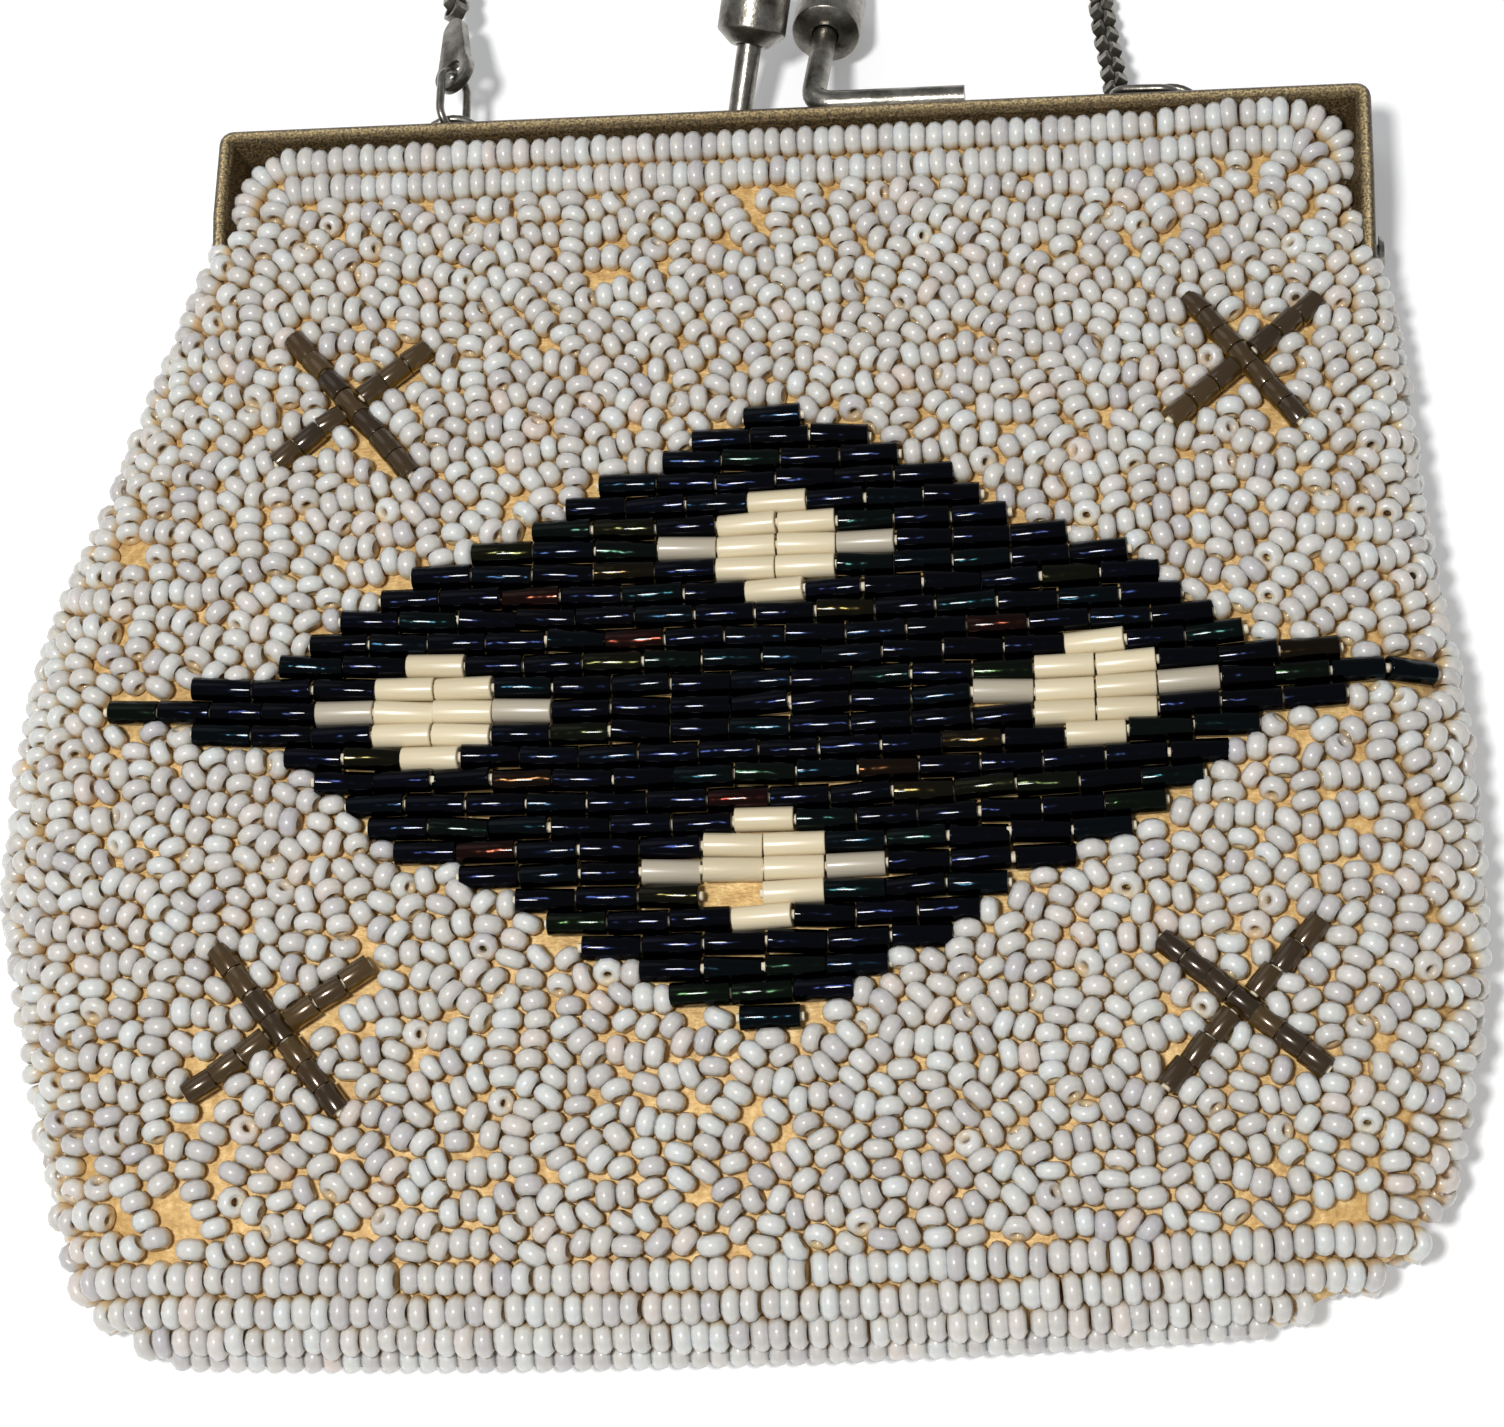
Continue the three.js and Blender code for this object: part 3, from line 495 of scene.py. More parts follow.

# %% [markdown]
# Lock, wires and chain are dark nickel with tarnish and small pits. The frame's trays are pressed
# brass, speckled by a grain and brown inside, with a painted highlight in a bright band along the
# rim. Edge wear can be found from the shape by a node, but this band runs along the rim, so the
# trays carry it as a tone.

# %% Nickel and brass


def dark_nickel():
    material, tree, shader = new_material("dark_nickel")
    tarnish = noise(tree, 0.6, 5, 0.65)
    ramp = colour_ramp(tree, [(0.3, (0.085, 0.075, 0.058)), (0.7, (0.40, 0.38, 0.335))])
    tree.links.new(tarnish.outputs["Fac"], ramp.inputs["Fac"])
    tree.links.new(ramp.outputs["Color"], shader.inputs["Base Color"])
    rough = tree.nodes.new("ShaderNodeMapRange")
    rough.inputs["To Min"].default_value = 0.42
    rough.inputs["To Max"].default_value = 0.2
    tree.links.new(tarnish.outputs["Fac"], rough.inputs["Value"])
    tree.links.new(rough.outputs["Result"], shader.inputs["Roughness"])
    pits = noise(tree, 4.0, 3, 0.6)
    bump(tree, shader, pits.outputs["Fac"], 0.5, 0.05 * MM)
    set_values(shader, Metallic=1.0)
    return material


def antique_brass():
    """The tone runs from 0 on the nickel outside, over the speckled rim with its painted highlight, to 1
    down in the tray.
    """
    material, tree, shader = new_material("antique_brass")
    # The bright stops at 0.265 and 0.30 paint a highlight along the top of the rim.
    ramp = colour_ramp(tree, [
        (0.0, (0.08, 0.074, 0.06)), (0.22, (0.10, 0.082, 0.052)), (0.265, (0.58, 0.46, 0.29)),
        (0.30, (0.32, 0.25, 0.14)), (0.35, (0.11, 0.08, 0.042)), (0.5, (0.13, 0.09, 0.045)),
        (1.0, (0.14, 0.095, 0.048)),
    ])
    tree.links.new(mark_of(tree), ramp.inputs["Fac"])
    grain = noise(tree, 5.0, 3, 0.7)
    speckle = colour_ramp(tree, [(0.4, (0.4, 0.4, 0.4)), (0.65, (2.0, 1.9, 1.6))])
    tree.links.new(grain.outputs["Fac"], speckle.inputs["Fac"])
    colour = multiplied(tree, ramp.outputs["Color"], speckle.outputs["Color"])
    tree.links.new(colour, shader.inputs["Base Color"])
    bump(tree, shader, grain.outputs["Fac"], 0.9, 0.16 * MM)
    set_values(shader, Roughness=0.36, Metallic=0.65)
    return material


NICKEL, BRASS = dark_nickel(), antique_brass()
print("materials:", NICKEL.name, BRASS.name)

# %% [markdown]
# Under the beads the bag is gold satin. A grid is made for the front and another for the back,
# each point of a grid is moved onto its panel, so far below the beads' middles that the beads sink
# into the cloth as sewn beads do, and the two are merged along the side seams and the bottom fold.
# Solidify then gives the cloth its thickness inwards. A cloth simulation isn't needed, because the
# bag is empty and lies flat.

# %% Cloth of the pouch
BEAD_RADIUS = 1.19
BEAD_LIFT = 0.03
CLOTH_THICKNESS = 0.6
CLOTH_DEPTH = 0.75
CLOTH_COLUMNS = 70
CLOTH_ROWS = 60
SEAM_REACH = 0.9
FLOOR_BLEND = 3.0
COLLAR_Y = 49.15
COLLAR_REACH = 44.6
COLLAR_RADIUS = 4.6


def bead_lift(panel, places):
    """Height of a bead's middle over the panel: on the floor the beads stand inside the bag's back."""
    if panel is front_panel:
        return np.full(len(places), BEAD_LIFT)
    rise = np.clip(places[:, 2] / FLOOR_BLEND, 0, 1)
    rise = rise * rise * (3 - 2 * rise)
    return -BEAD_RADIUS + (BEAD_LIFT + BEAD_RADIUS) * rise


def outward(panel, s, y):
    across, up, out = panel.ways(s, y)
    return out if panel is front_panel else -out


def collar_line(x):
    """Station of the uppermost bead row, which curls down at the frame's corners."""
    over = np.clip(np.abs(x) - (COLLAR_REACH - COLLAR_RADIUS), 0, COLLAR_RADIUS)
    return COLLAR_Y - COLLAR_RADIUS + np.sqrt(COLLAR_RADIUS ** 2 - over ** 2)


def panel_sheet(panel, columns, rows):
    bm = bmesh.new()
    bmesh.ops.create_grid(bm, x_segments=columns, y_segments=rows, size=1)
    grid = np.array([v.co[:2] for v in bm.verts])
    top = collar_line(grid[:, 0] * COLLAR_REACH)
    y = POUCH_BOTTOM + (0.5 + 0.5 * grid[:, 1]) * (top - POUCH_BOTTOM)
    s = panel.middle(y) + grid[:, 0] * panel.half_width(y)
    places = panel.point(s, y)
    lift = bead_lift(panel, places) - CLOTH_DEPTH
    places = places + outward(panel, s, y) * lift[:, None]
    for vert, place in zip(bm.verts, places):
        vert.co = place
    return bm


def join_into(bm, other):
    mesh = bpy.data.meshes.new("part")
    other.to_mesh(mesh)
    other.free()
    bm.from_mesh(mesh)
    bpy.data.meshes.remove(mesh)


cloth_mesh = panel_sheet(front_panel, CLOTH_COLUMNS, CLOTH_ROWS)
join_into(cloth_mesh, panel_sheet(back_panel, CLOTH_COLUMNS, CLOTH_ROWS))
edge = [v for v in cloth_mesh.verts if v.is_boundary]
bmesh.ops.remove_doubles(cloth_mesh, verts=edge, dist=SEAM_REACH)
cloth = finish_piece("pouch_cloth", cloth_mesh, SATIN, ["pouch"])
solidify = cloth.modifiers.new("thickness", "SOLIDIFY")
solidify.thickness = CLOTH_THICKNESS * MM
solidify.offset = -1

# %% [markdown]
# The motifs are long glass tubes, called bugles, sewn side by side in rows. One bugle is a small
# rectangle with broken corners, spun about its axis with a hole left in the middle. A chart gives
# the number of bugles in each row of the large diamond. Where a pale lozenge crosses a row, the
# dark bugles fill what is left on both sides, which gives the brick pattern by itself.

# %% Shapes of a bugle, a thread and a seed bead
BUGLE_RADIUS = 0.93
BUGLE_HOLE = 0.4
BUGLE_SIDES = 12
TUBE_HALF = 0.5
TUBE_CHAMFER = 0.02
BUGLE_PITCH = 4.61
BUGLE_GAP = 0.16
ROW_PITCH = 1.865
MIDDLE_ROW_Y = -0.4


def spun(outline, sides):
    """Shape that closes on itself round the Z axis, from an outline of radius and height."""
    bm = bmesh.new()
    ring = [bm.verts.new((radius, 0, height)) for radius, height in outline]
    edges = [bm.edges.new((a, b)) for a, b in zip(ring, ring[1:] + ring[:1])]
    bmesh.ops.spin(bm, geom=ring + edges, cent=(0, 0, 0), axis=(0, 0, 1), dvec=(0, 0, 0),
                   angle=2 * math.pi, steps=sides, use_merge=True)
    return bm


def tube_outline(radius, hole):
    """Outline of a tube one millimetre long, which is stretched to its length later."""
    half, chamfer = TUBE_HALF, TUBE_CHAMFER
    return [
        (hole, -half), (radius - chamfer, -half), (radius, -half + chamfer),
        (radius, half - chamfer), (radius - chamfer, half), (hole, half),
    ]


def bead_outline(radius, half, shares):
    """Outline from one rim of the hole over the outside to the other, in shares of the bead's size."""
    near = [(radius * out, -half * up) for out, up in shares]
    return near + [(radius, 0)] + [(r, -z) for r, z in near[::-1]]


BEAD_HALF = 0.73
FRONT_BEAD_SIDES = 10
BACK_BEAD_SIDES = 8
THREAD_RADIUS = 0.38
THREAD_CORE = 0.05
THREAD_SIDES = 6
FRONT_SHARES = ((0.29, 0.76), (0.6, 1), (0.91, 0.56))
BACK_SHARES = ((0.28, 0.75), (0.72, 0.95))
BUGLE_SHAPE = shape_arrays(spun(tube_outline(BUGLE_RADIUS, BUGLE_HOLE), BUGLE_SIDES))
THREAD_SHAPE = shape_arrays(spun(tube_outline(THREAD_RADIUS, THREAD_CORE), THREAD_SIDES))
front_outline = bead_outline(BEAD_RADIUS, BEAD_HALF, FRONT_SHARES)
back_outline = bead_outline(BEAD_RADIUS, BEAD_HALF, BACK_SHARES)
FRONT_BEAD_SHAPE = shape_arrays(spun(front_outline, FRONT_BEAD_SIDES))
BACK_BEAD_SHAPE = shape_arrays(spun(back_outline, BACK_BEAD_SIDES))
print("faces of a bugle and a bead:", len(BUGLE_SHAPE[1]), len(FRONT_BEAD_SHAPE[1]))

# %% [markdown]
# The large diamond was sewn by hand, so its rows are not quite centred: the chart holds the number
# of bugles in each row and its middle. Four pale lozenges sit in it, each with two duller caps. One
# pale bugle is lost on this bag, and the cloth shows there.

# %% Chart of the diamond and the places of its bugles
DIAMOND_ROWS = [
    (1, 0.0), (3, 0.6), (4, 0.7), (6, 0.35), (7, 0.1), (8, -0.1), (10, -0.2), (12, -0.2), (13, -0.25),
    (14, -0.95), (15, -0.9), (16, -0.9), (19, -0.85), (22, -0.5), (19, -0.5), (16, 0.05), (15, 0.15),
    (14, 0.5), (13, 0.0), (12, -0.15), (10, 0.25), (8, -0.1), (7, 0.15), (6, 0.45), (4, 0.35), (3, 0.25),
    (1, 0.85),
]
LOZENGE_ROWS = (1, 2, 4, 2, 1)
LOZENGES = {
    "cream_diamond_top": (0.55, 6),
    "cream_diamond_bottom": (0.15, 20),
    "cream_diamond_left": (-25.5, 13),
    "cream_diamond_right": (24.85, 13),
}
LOST_BUGLE = ("cream_diamond_bottom", 3, 0)
CAP_TONE = 0.05
CREAM_TONES = (0.4, 1.0)
IRIS_TONE_POWER = 1.6


def row_y(row):
    return MIDDLE_ROW_Y + (len(DIAMOND_ROWS) // 2 - row) * ROW_PITCH


def run_of_bugles(low, high):
    """Middles and lengths of the bugles that fill a stretch of a row."""
    count = round((high - low) / BUGLE_PITCH)
    pitch = (high - low) / max(count, 1)
    return [(low + (i + 0.5) * pitch, pitch - BUGLE_GAP) for i in range(count)]


bugles = {"bugle_diamond": []}
for row, (count, middle) in enumerate(DIAMOND_ROWS):
    low, high = middle - count * BUGLE_PITCH / 2, middle + count * BUGLE_PITCH / 2
    taken = []
    for name, (x, centre_row) in LOZENGES.items():
        step = row - centre_row + len(LOZENGE_ROWS) // 2
        if 0 <= step < len(LOZENGE_ROWS):
            half = LOZENGE_ROWS[step] * BUGLE_PITCH / 2
            pale = run_of_bugles(x - half, x + half)
            for i, (s, length) in enumerate(pale):
                cap = len(pale) == max(LOZENGE_ROWS) and i in (0, len(pale) - 1)
                tone = CAP_TONE if cap else random.uniform(*CREAM_TONES)
                if (name, step, i) != LOST_BUGLE:
                    bugles.setdefault(name, []).append((s, row_y(row), length, tone))
                else:
                    lost_place = (s, row_y(row), length, 0.0)
            taken.append((x - half, x + half))
    cuts = [low] + [edge for span in sorted(taken) for edge in span] + [high]
    for start, end in zip(cuts[::2], cuts[1::2]):
        for s, length in run_of_bugles(start, end):
            tone = random.uniform() ** IRIS_TONE_POWER
            bugles["bugle_diamond"].append((s, row_y(row), length, tone))
print("bugles:", {name: len(places) for name, places in bugles.items()})

# %% [markdown]
# A sewn bugle lies on the cloth, tipped and turned a little, so each one catches the light in its
# own way. Copies of an object could be placed one by one. Here one mesh for each motif takes all its
# bugles, and a thread runs through every bugle and shows at the joints.

# %% Sew the bugles on
BUGLE_LIFT = 0.3
BUGLE_SWAY = 0.022
BUGLE_TIP = 0.07
BUGLE_WANDER = 0.05
LENGTH_SPREAD = 0.05
THREAD_OVERLAP = 0.4


def along_panel(panel, s, y, slopes, lift):
    """Middles and turns of tubes whose own Z axis runs at a slope across the panel."""
    across, up, out = panel.ways(s, y)
    way = across * np.cos(slopes)[:, None] + up * np.sin(slopes)[:, None]
    tip = random.normal(0, BUGLE_TIP, len(s))[:, None]
    way = unit(way + out * tip)
    side = unit(np.cross(out, way))
    turns = np.stack([side, np.cross(way, side), way], -1)
    return panel.point(s, y) + out * lift, turns


def stretched(turns, lengths):
    """Turns that also draw the tube out to its length."""
    return turns * np.stack([np.ones_like(lengths), np.ones_like(lengths), lengths], -1)[:, None]


def sew_bugles(name, entries, material):
    s, y, lengths, tones = np.array(entries).T
    slopes = random.normal(0, BUGLE_SWAY, len(s))
    y = y + random.normal(0, BUGLE_WANDER, len(s))
    places, turns = along_panel(front_panel, s, y, slopes, BUGLE_LIFT)
    lengths = lengths + random.normal(0, LENGTH_SPREAD, len(s))
    stamp(name + "_bugles", BUGLE_SHAPE, stretched(turns, lengths), places, tones, material, [name])
    threads = turns * np.array([1, 1, BUGLE_PITCH + THREAD_OVERLAP])
    return threads, places


thread_turns, thread_places = [], []
for name, entries in bugles.items():
    material, slot = (IRIS, "dark_bugle") if name == "bugle_diamond" else (CREAM, "cream_bugle")
    turns, places = sew_bugles(name, entries, material)
    thread_turns.append(turns)
    thread_places.append(places)

# %% [markdown]
# A cross of short bronze bugles sits in each corner. One bar runs through, and the other is sewn
# in two halves that leave the middle free. Their glass is clear brown, and lets light through at
# the sides of each tube. Real see-through glass is slow to render, so that light is painted: each
# point gets its own tone, dark on top and painted amber light at the sides.

# %% Corner crosses
CROSSES = {
    "bronze_cross_top_left": (-33.8, 26.0, 16.6, -50, 15.4, 41),
    "bronze_cross_top_right": (36.5, 27.0, 14.4, -54, 15.8, 42),
    "bronze_cross_bottom_left": (-36.1, -25.0, 15.9, -50, 16.8, 36),
    "bronze_cross_bottom_right": (35.2, -25.6, 15.7, -42, 16.4, 45),
}
THROUGH_BUGLES = 7
SPLIT_BUGLES = 6
SPLIT_GAP = 1.9
CROSS_GAP = 0.12
CROSS_SWAY = 0.05
CROSS_THREAD = 2.6
TOP_TONE = 0.6
PAINTED_LIGHT_LEVEL = 0.6
cross_places = []


def bar_entries(x, y, length, slope, count, gap):
    """Short bugles along one bar, with a free stretch in the middle."""
    angle = math.radians(slope)
    pitch = (length - gap) / count
    entries = []
    for i in range(count):
        at = (i + 0.5) * pitch - (length - gap) / 2
        at += math.copysign(gap / 2, at)
        entries.append((x + at * math.cos(angle), y + at * math.sin(angle), pitch - CROSS_GAP, angle))
    return entries


# The share of painted amber light grows towards the sides of each tube.
painted_light_share = np.clip(1 - BUGLE_SHAPE[0][:, 1] / (PAINTED_LIGHT_LEVEL * BUGLE_RADIUS), 0, 1)
for name, (x, y, falling, falling_slope, rising, rising_slope) in CROSSES.items():
    entries = bar_entries(x, y, falling, falling_slope, THROUGH_BUGLES, 0)
    entries += bar_entries(x, y, rising, rising_slope, SPLIT_BUGLES, SPLIT_GAP)
    s, y_at, lengths, slopes = np.array(entries).T
    slopes = slopes + random.normal(0, CROSS_SWAY, len(s))
    places, turns = along_panel(front_panel, s, y_at, slopes, BUGLE_LIFT)
    tones = random.uniform(0, TOP_TONE, len(s))[:, None] * (1 - painted_light_share) + painted_light_share
    stamp(name + "_bugles", BUGLE_SHAPE, stretched(turns, lengths), places, tones, BRONZE,
          [name])
    thread_turns.append(turns * np.array([1, 1, CROSS_THREAD]))
    thread_places.append(places)
    cross_places += entries

thread_places = np.concatenate(thread_places)
stamp("motif_threads", THREAD_SHAPE, np.concatenate(thread_turns), thread_places,
      np.zeros(len(thread_places)), THREAD)

# %% [markdown]
# The ground is thousands of seed beads in a random stitch: two to four beads on each stitch,
# stitches in every direction. Particles could scatter them, but they would overlap. Here each
# bead is a short rod with two round ends on the flat panel. The rods start as stitches and are
# pushed apart until they fit, held back by the motifs and the straight rows, as real beads are.

# %% Straight bead rows
ROW_BEAD_PITCH = 1.44
SIZE_STATIONS = (-45.0, 49.0)
SIZE_SHARES = (1.0, 0.96)
ROW_BEAD_SHARES = (1.14, 1.0)
BOTTOM_ROWS = (-42.9, -45.05, -46.8)
COLLAR_ROW_PITCH = 2.7
COLLAR_BEAD_PITCH = 1.29
COLLAR_HUMP = 0.9
COLLAR_HUMP_X = 37.0
COLLAR_HUMP_REACH = 7.0
COLLAR_STRETCH = 1.02
ROW_END = 1.0
ROW_WANDER = 0.06
ROD_HALF = 0.46
ROD_RADIUS = 0.76


def bead_share(y):
    """Beads are a little smaller at the top of the bag than at the bottom."""
    return np.interp(y, SIZE_STATIONS, SIZE_SHARES)


def collar_row(inset):
    """Row inside the frame: straight under the top, curling down at both corners."""
    radius = COLLAR_RADIUS - inset
    straight = COLLAR_REACH - COLLAR_RADIUS
    bend = radius * math.pi / 2
    at = np.arange(-straight - bend, straight + bend, COLLAR_BEAD_PITCH)
    turn = np.clip(np.abs(at) - straight, 0, None) / radius
    s = np.sign(at) * (np.minimum(np.abs(at), straight) + radius * np.sin(turn))
    y = COLLAR_Y - COLLAR_RADIUS + radius * np.cos(turn)
    y = y + COLLAR_HUMP * np.exp(-((s - COLLAR_HUMP_X) / COLLAR_HUMP_REACH) ** 2)
    s = np.where(s > 0, s * COLLAR_STRETCH, s)
    return np.stack([s, y, -np.sign(at) * turn], -1)


def straight_row(panel, y):
    reach = panel.half_width(y) - ROW_END
    s = panel.middle(y) + np.arange(-reach, reach, ROW_BEAD_PITCH)
    return np.stack([s, np.full_like(s, y), np.zeros_like(s)], -1)


def panel_rows(panel):
    rows = [collar_row(0), collar_row(COLLAR_ROW_PITCH)]
    rows += [straight_row(panel, y) for y in BOTTOM_ROWS]
    found = np.concatenate(rows)
    found[:, 0] += random.normal(0, ROW_WANDER, len(found))
    found[:, 1] += random.normal(0, ROW_WANDER, len(found))
    return found


print("collar beads in a row:", len(collar_row(0)))

# %% [markdown]
# Pushing beads apart needs to know which of them are close. Comparing every pair would be slow, so
# the ends of the rods are sorted into the cells of a square grid, and only neighbours are compared.
# Each round moves overlapping ends a little and then gives every rod its length back.

# %% Push overlapping beads apart
PACK_TOP = 46.0
PACK_BOTTOM = BOTTOM_ROWS[0] + 1.6
PACK_EDGE = 0.8
GRID_COLUMNS = 4096
PAIR_REACH = 2.5
PAIR_ROUNDS = 5
PUSH_SHARE = 0.4
LONGEST_PUSH = 0.4
TINY = 1e-6


def close_pairs(points, reach):
    """Every pair of points in the same or a neighbouring cell of a square grid."""
    key = np.floor(points / reach).astype(int) @ np.array([GRID_COLUMNS, 1])
    order = np.argsort(key, kind="stable")
    ranked = key[order]
    pairs = []
    for step in (0, 1, GRID_COLUMNS - 1, GRID_COLUMNS, GRID_COLUMNS + 1):
        first = np.searchsorted(ranked, key + step, "left")
        count = np.searchsorted(ranked, key + step, "right") - first
        a = np.repeat(np.arange(len(points)), count)
        offset = np.arange(len(a)) - np.repeat(np.cumsum(count) - count, count)
        b = order[np.repeat(first, count) + offset]
        keep = a < b if step == 0 else a != b
        pairs.append(np.stack([a[keep], b[keep]], -1))
    return np.concatenate(pairs)


def push_apart(rods, radii, halves, fixed, fixed_radii, panel, rounds):
    """Rods as two ends each: overlapping ends are pushed apart, then each rod gets its length back."""
    ends = np.concatenate([rods[:, 0], rods[:, 1], fixed])
    sizes = np.concatenate([radii, radii, fixed_radii])
    count, moving = len(rods), 2 * len(rods)
    for turn in range(rounds):
        if turn % PAIR_ROUNDS == 0:
            pairs = close_pairs(ends, PAIR_REACH)
            same = (pairs[:, 1] - pairs[:, 0] == count) & (pairs[:, 1] < moving)
            pairs = pairs[~same & (pairs[:, 0] < moving)]
        a, b = pairs.T
        gap = ends[b] - ends[a]
        far = np.maximum(np.linalg.norm(gap, axis=1), TINY)
        overlap = np.clip(sizes[a] + sizes[b] - far, 0, None)
        halved = np.where(b < moving, 0.5, 1.0)
        push = gap / far[:, None] * (PUSH_SHARE * overlap * halved)[:, None]
        shift = np.zeros_like(ends)
        for axis in (0, 1):
            shift[:, axis] = np.bincount(b, push[:, axis], len(ends))
            shift[:, axis] -= np.bincount(a, push[:, axis], len(ends))
        ends[:moving] += np.clip(shift[:moving], -LONGEST_PUSH, LONGEST_PUSH)
        centre = (ends[:count] + ends[count:moving]) / 2
        span = ends[count:moving] - ends[:count]
        span = span / np.maximum(np.linalg.norm(span, axis=1, keepdims=True), TINY) * halves[:, None]
        reach = panel.half_width(centre[:, 1]) - PACK_EDGE
        middle = panel.middle(centre[:, 1])
        centre[:, 0] = np.clip(centre[:, 0], middle - reach, middle + reach)
        centre[:, 1] = np.clip(centre[:, 1], PACK_BOTTOM, PACK_TOP)
        ends[:count], ends[count:moving] = centre - span, centre + span
    return np.stack([ends[:count], ends[count:moving]], 1)


print("beads may lie between the stations", round(PACK_BOTTOM, 1), "and", PACK_TOP)

# %% [markdown]
# On the real bag stitches have come loose in places, and the satin lies bare there. Beads stay inside
# the seams and under the collar, keep clear of the motifs, and are thinned out in those bare patches.

# %% Where beads may lie
BLOCK_SIZE = 500
PATCH_SHARE = 0.3
BARE_PATCHES = (
    (-43.8, -39.6, 2.9), (-42.2, -31.4, 2.0), (-50, 13, 2.2), (47, 21, 1.6), (-16, -17, 1.8),
)


def clearance(points, others, sizes):
    """Distance from each point to the nearest round end."""
    nearest = []
    for start in range(0, len(points), BLOCK_SIZE):
        block = points[start:start + BLOCK_SIZE, None] - others[None]
        nearest.append((np.linalg.norm(block, axis=2) - sizes).min(1))
    return np.concatenate(nearest)


def inside_panel(points, panel):
    reach = panel.half_width(points[:, 1]) - PACK_EDGE
    near = np.abs(points[:, 0] - panel.middle(points[:, 1])) < reach
    under = points[:, 1] < collar_line(points[:, 0]) - COLLAR_ROW_PITCH
    return near & under & (points[:, 1] > PACK_BOTTOM)


def in_bare_patch(points):
    bare = np.zeros(len(points), bool)
    for x, y, radius in BARE_PATCHES:
        bare |= np.hypot(points[:, 0] - x, points[:, 1] - y) < radius
    return bare


print("bare patches:", len(BARE_PATCHES))

# %% [markdown]
# Packing starts with stitches of two to four beads on a loose grid. Each stitch runs its own way, and
# its beads follow one another on the thread.

# %% Stitches to start with
STITCH_SPACING = 3.45
STITCH_ROW_SHARE = 0.87
STITCH_WANDER = 0.8
STITCH_BEADS = (2, 3, 4)
STITCH_SHARES = (0.25, 0.5, 0.25)
STITCH_PITCH = 1.5
PACK_REACH = 66


def start_stitches():
    found = []
    y = PACK_BOTTOM
    while y < PACK_TOP:
        spacing = STITCH_SPACING * bead_share(y)
        s = np.arange(-PACK_REACH, PACK_REACH, spacing) + (len(found) % 2) * spacing / 2
        found.append(np.stack([s, np.full_like(s, y)], -1))
        y += spacing * STITCH_ROW_SHARE
    centres = np.concatenate(found)
    centres = centres + random.uniform(-STITCH_WANDER, STITCH_WANDER, centres.shape)
    beads, angles = [], []
    for centre, angle in zip(centres, random.uniform(0, math.pi, len(centres))):
        count = random.choice(STITCH_BEADS, p=STITCH_SHARES)
        along = (np.arange(count) - (count - 1) / 2) * STITCH_PITCH
        beads.append(centre + along[:, None] * (math.cos(angle), math.sin(angle)))
        angles.append(np.full(count, angle))
    return np.concatenate(beads), np.concatenate(angles)


def rods_of(beads, angles, halves):
    side = np.stack([-np.sin(angles), np.cos(angles)], -1) * halves[:, None]
    return np.stack([beads - side, beads + side], 1)


print("stitches to start with:", round(2 * PACK_REACH / STITCH_SPACING), "across the panel")

# %% [markdown]
# After the beads are pushed apart, single beads are added wherever enough room is left, and all are
# pushed again. A few beads stand tipped up, as on the real bag, so the room they take is rounder. A
# bead that ends up on a motif or a straight row is left out.

# %% Pack the random stitches
START_CLEARANCE = 0.5
START_ROUNDS = 120
TIPPED_SHARE = 0.06
TIPPED_RADIUS = 0.95
TIPPED_HALF = 0.24
FILL_GRID = 0.7
FILL_ROUNDS = (60, 60, 80)
FILL_ROOM = 0.61
FILL_SPACING = 2.0
STRAY_CLEARANCE = 0.3


def pack_panel(panel, fixed, fixed_radii, patches):
    beads, angles = start_stitches()
    keep = inside_panel(beads, panel) & (clearance(beads, fixed, fixed_radii) > START_CLEARANCE)
    if patches:
        keep &= ~in_bare_patch(beads) | (random.uniform(0, 1, len(beads)) < PATCH_SHARE)
    beads, angles = beads[keep], angles[keep]
    tipped = random.uniform(0, 1, len(beads)) < TIPPED_SHARE
    radii = np.where(tipped, TIPPED_RADIUS, ROD_RADIUS) * bead_share(beads[:, 1])
    halves = np.where(tipped, TIPPED_HALF, ROD_HALF) * bead_share(beads[:, 1])
    rods = rods_of(beads, angles, halves)
    rods = push_apart(rods, radii, halves, fixed, fixed_radii, panel, START_ROUNDS)
    across = np.arange(-PACK_REACH, PACK_REACH, FILL_GRID)
    up = np.arange(PACK_BOTTOM, PACK_TOP, FILL_GRID)
    grid = np.stack(np.meshgrid(across, up), -1).reshape(-1, 2)
    grid = grid[inside_panel(grid, panel) & ~(in_bare_patch(grid) & patches)]
    for rounds in FILL_ROUNDS:
        others = np.concatenate([rods[:, 0], rods[:, 1], fixed])
        sizes = np.concatenate([radii, radii, fixed_radii])
        room = clearance(grid, others, sizes)
        added = []
        for i in np.argsort(-room):
            if room[i] < FILL_ROOM:
                break
            if all(np.hypot(*(grid[i] - other)) > FILL_SPACING for other in added):
                added.append(grid[i])
        if not added:
            break
        more = np.array(added)
        more_halves = ROD_HALF * bead_share(more[:, 1])
        rods = np.concatenate([rods, rods_of(more, random.uniform(0, math.pi, len(more)), more_halves)])
        radii = np.concatenate([radii, ROD_RADIUS * bead_share(more[:, 1])])
        halves = np.concatenate([halves, more_halves])
        tipped = np.concatenate([tipped, np.zeros(len(more), bool)])
        rods = push_apart(rods, radii, halves, fixed, fixed_radii, panel, rounds)
    free = clearance(rods.mean(1), fixed, fixed_radii) > STRAY_CLEARANCE
    rods, tipped = rods[free], tipped[free]
    middles = rods.mean(1)
    ways = unit(rods[:, 1] - rods[:, 0])
    print("packed", len(middles), "seed beads")
    return np.column_stack([middles, np.arctan2(ways[:, 1], ways[:, 0]) - math.pi / 2, tipped])


print("rounds of pushing:", START_ROUNDS + sum(FILL_ROUNDS))

# %% [markdown]
# A seed bead lies with its hole along the thread, so its axis follows the stitch and tips a little.
# Copies of one small shape are stamped into a few large meshes for each side of the bag, with the
# back's beads a little plainer, because they are only seen from below.

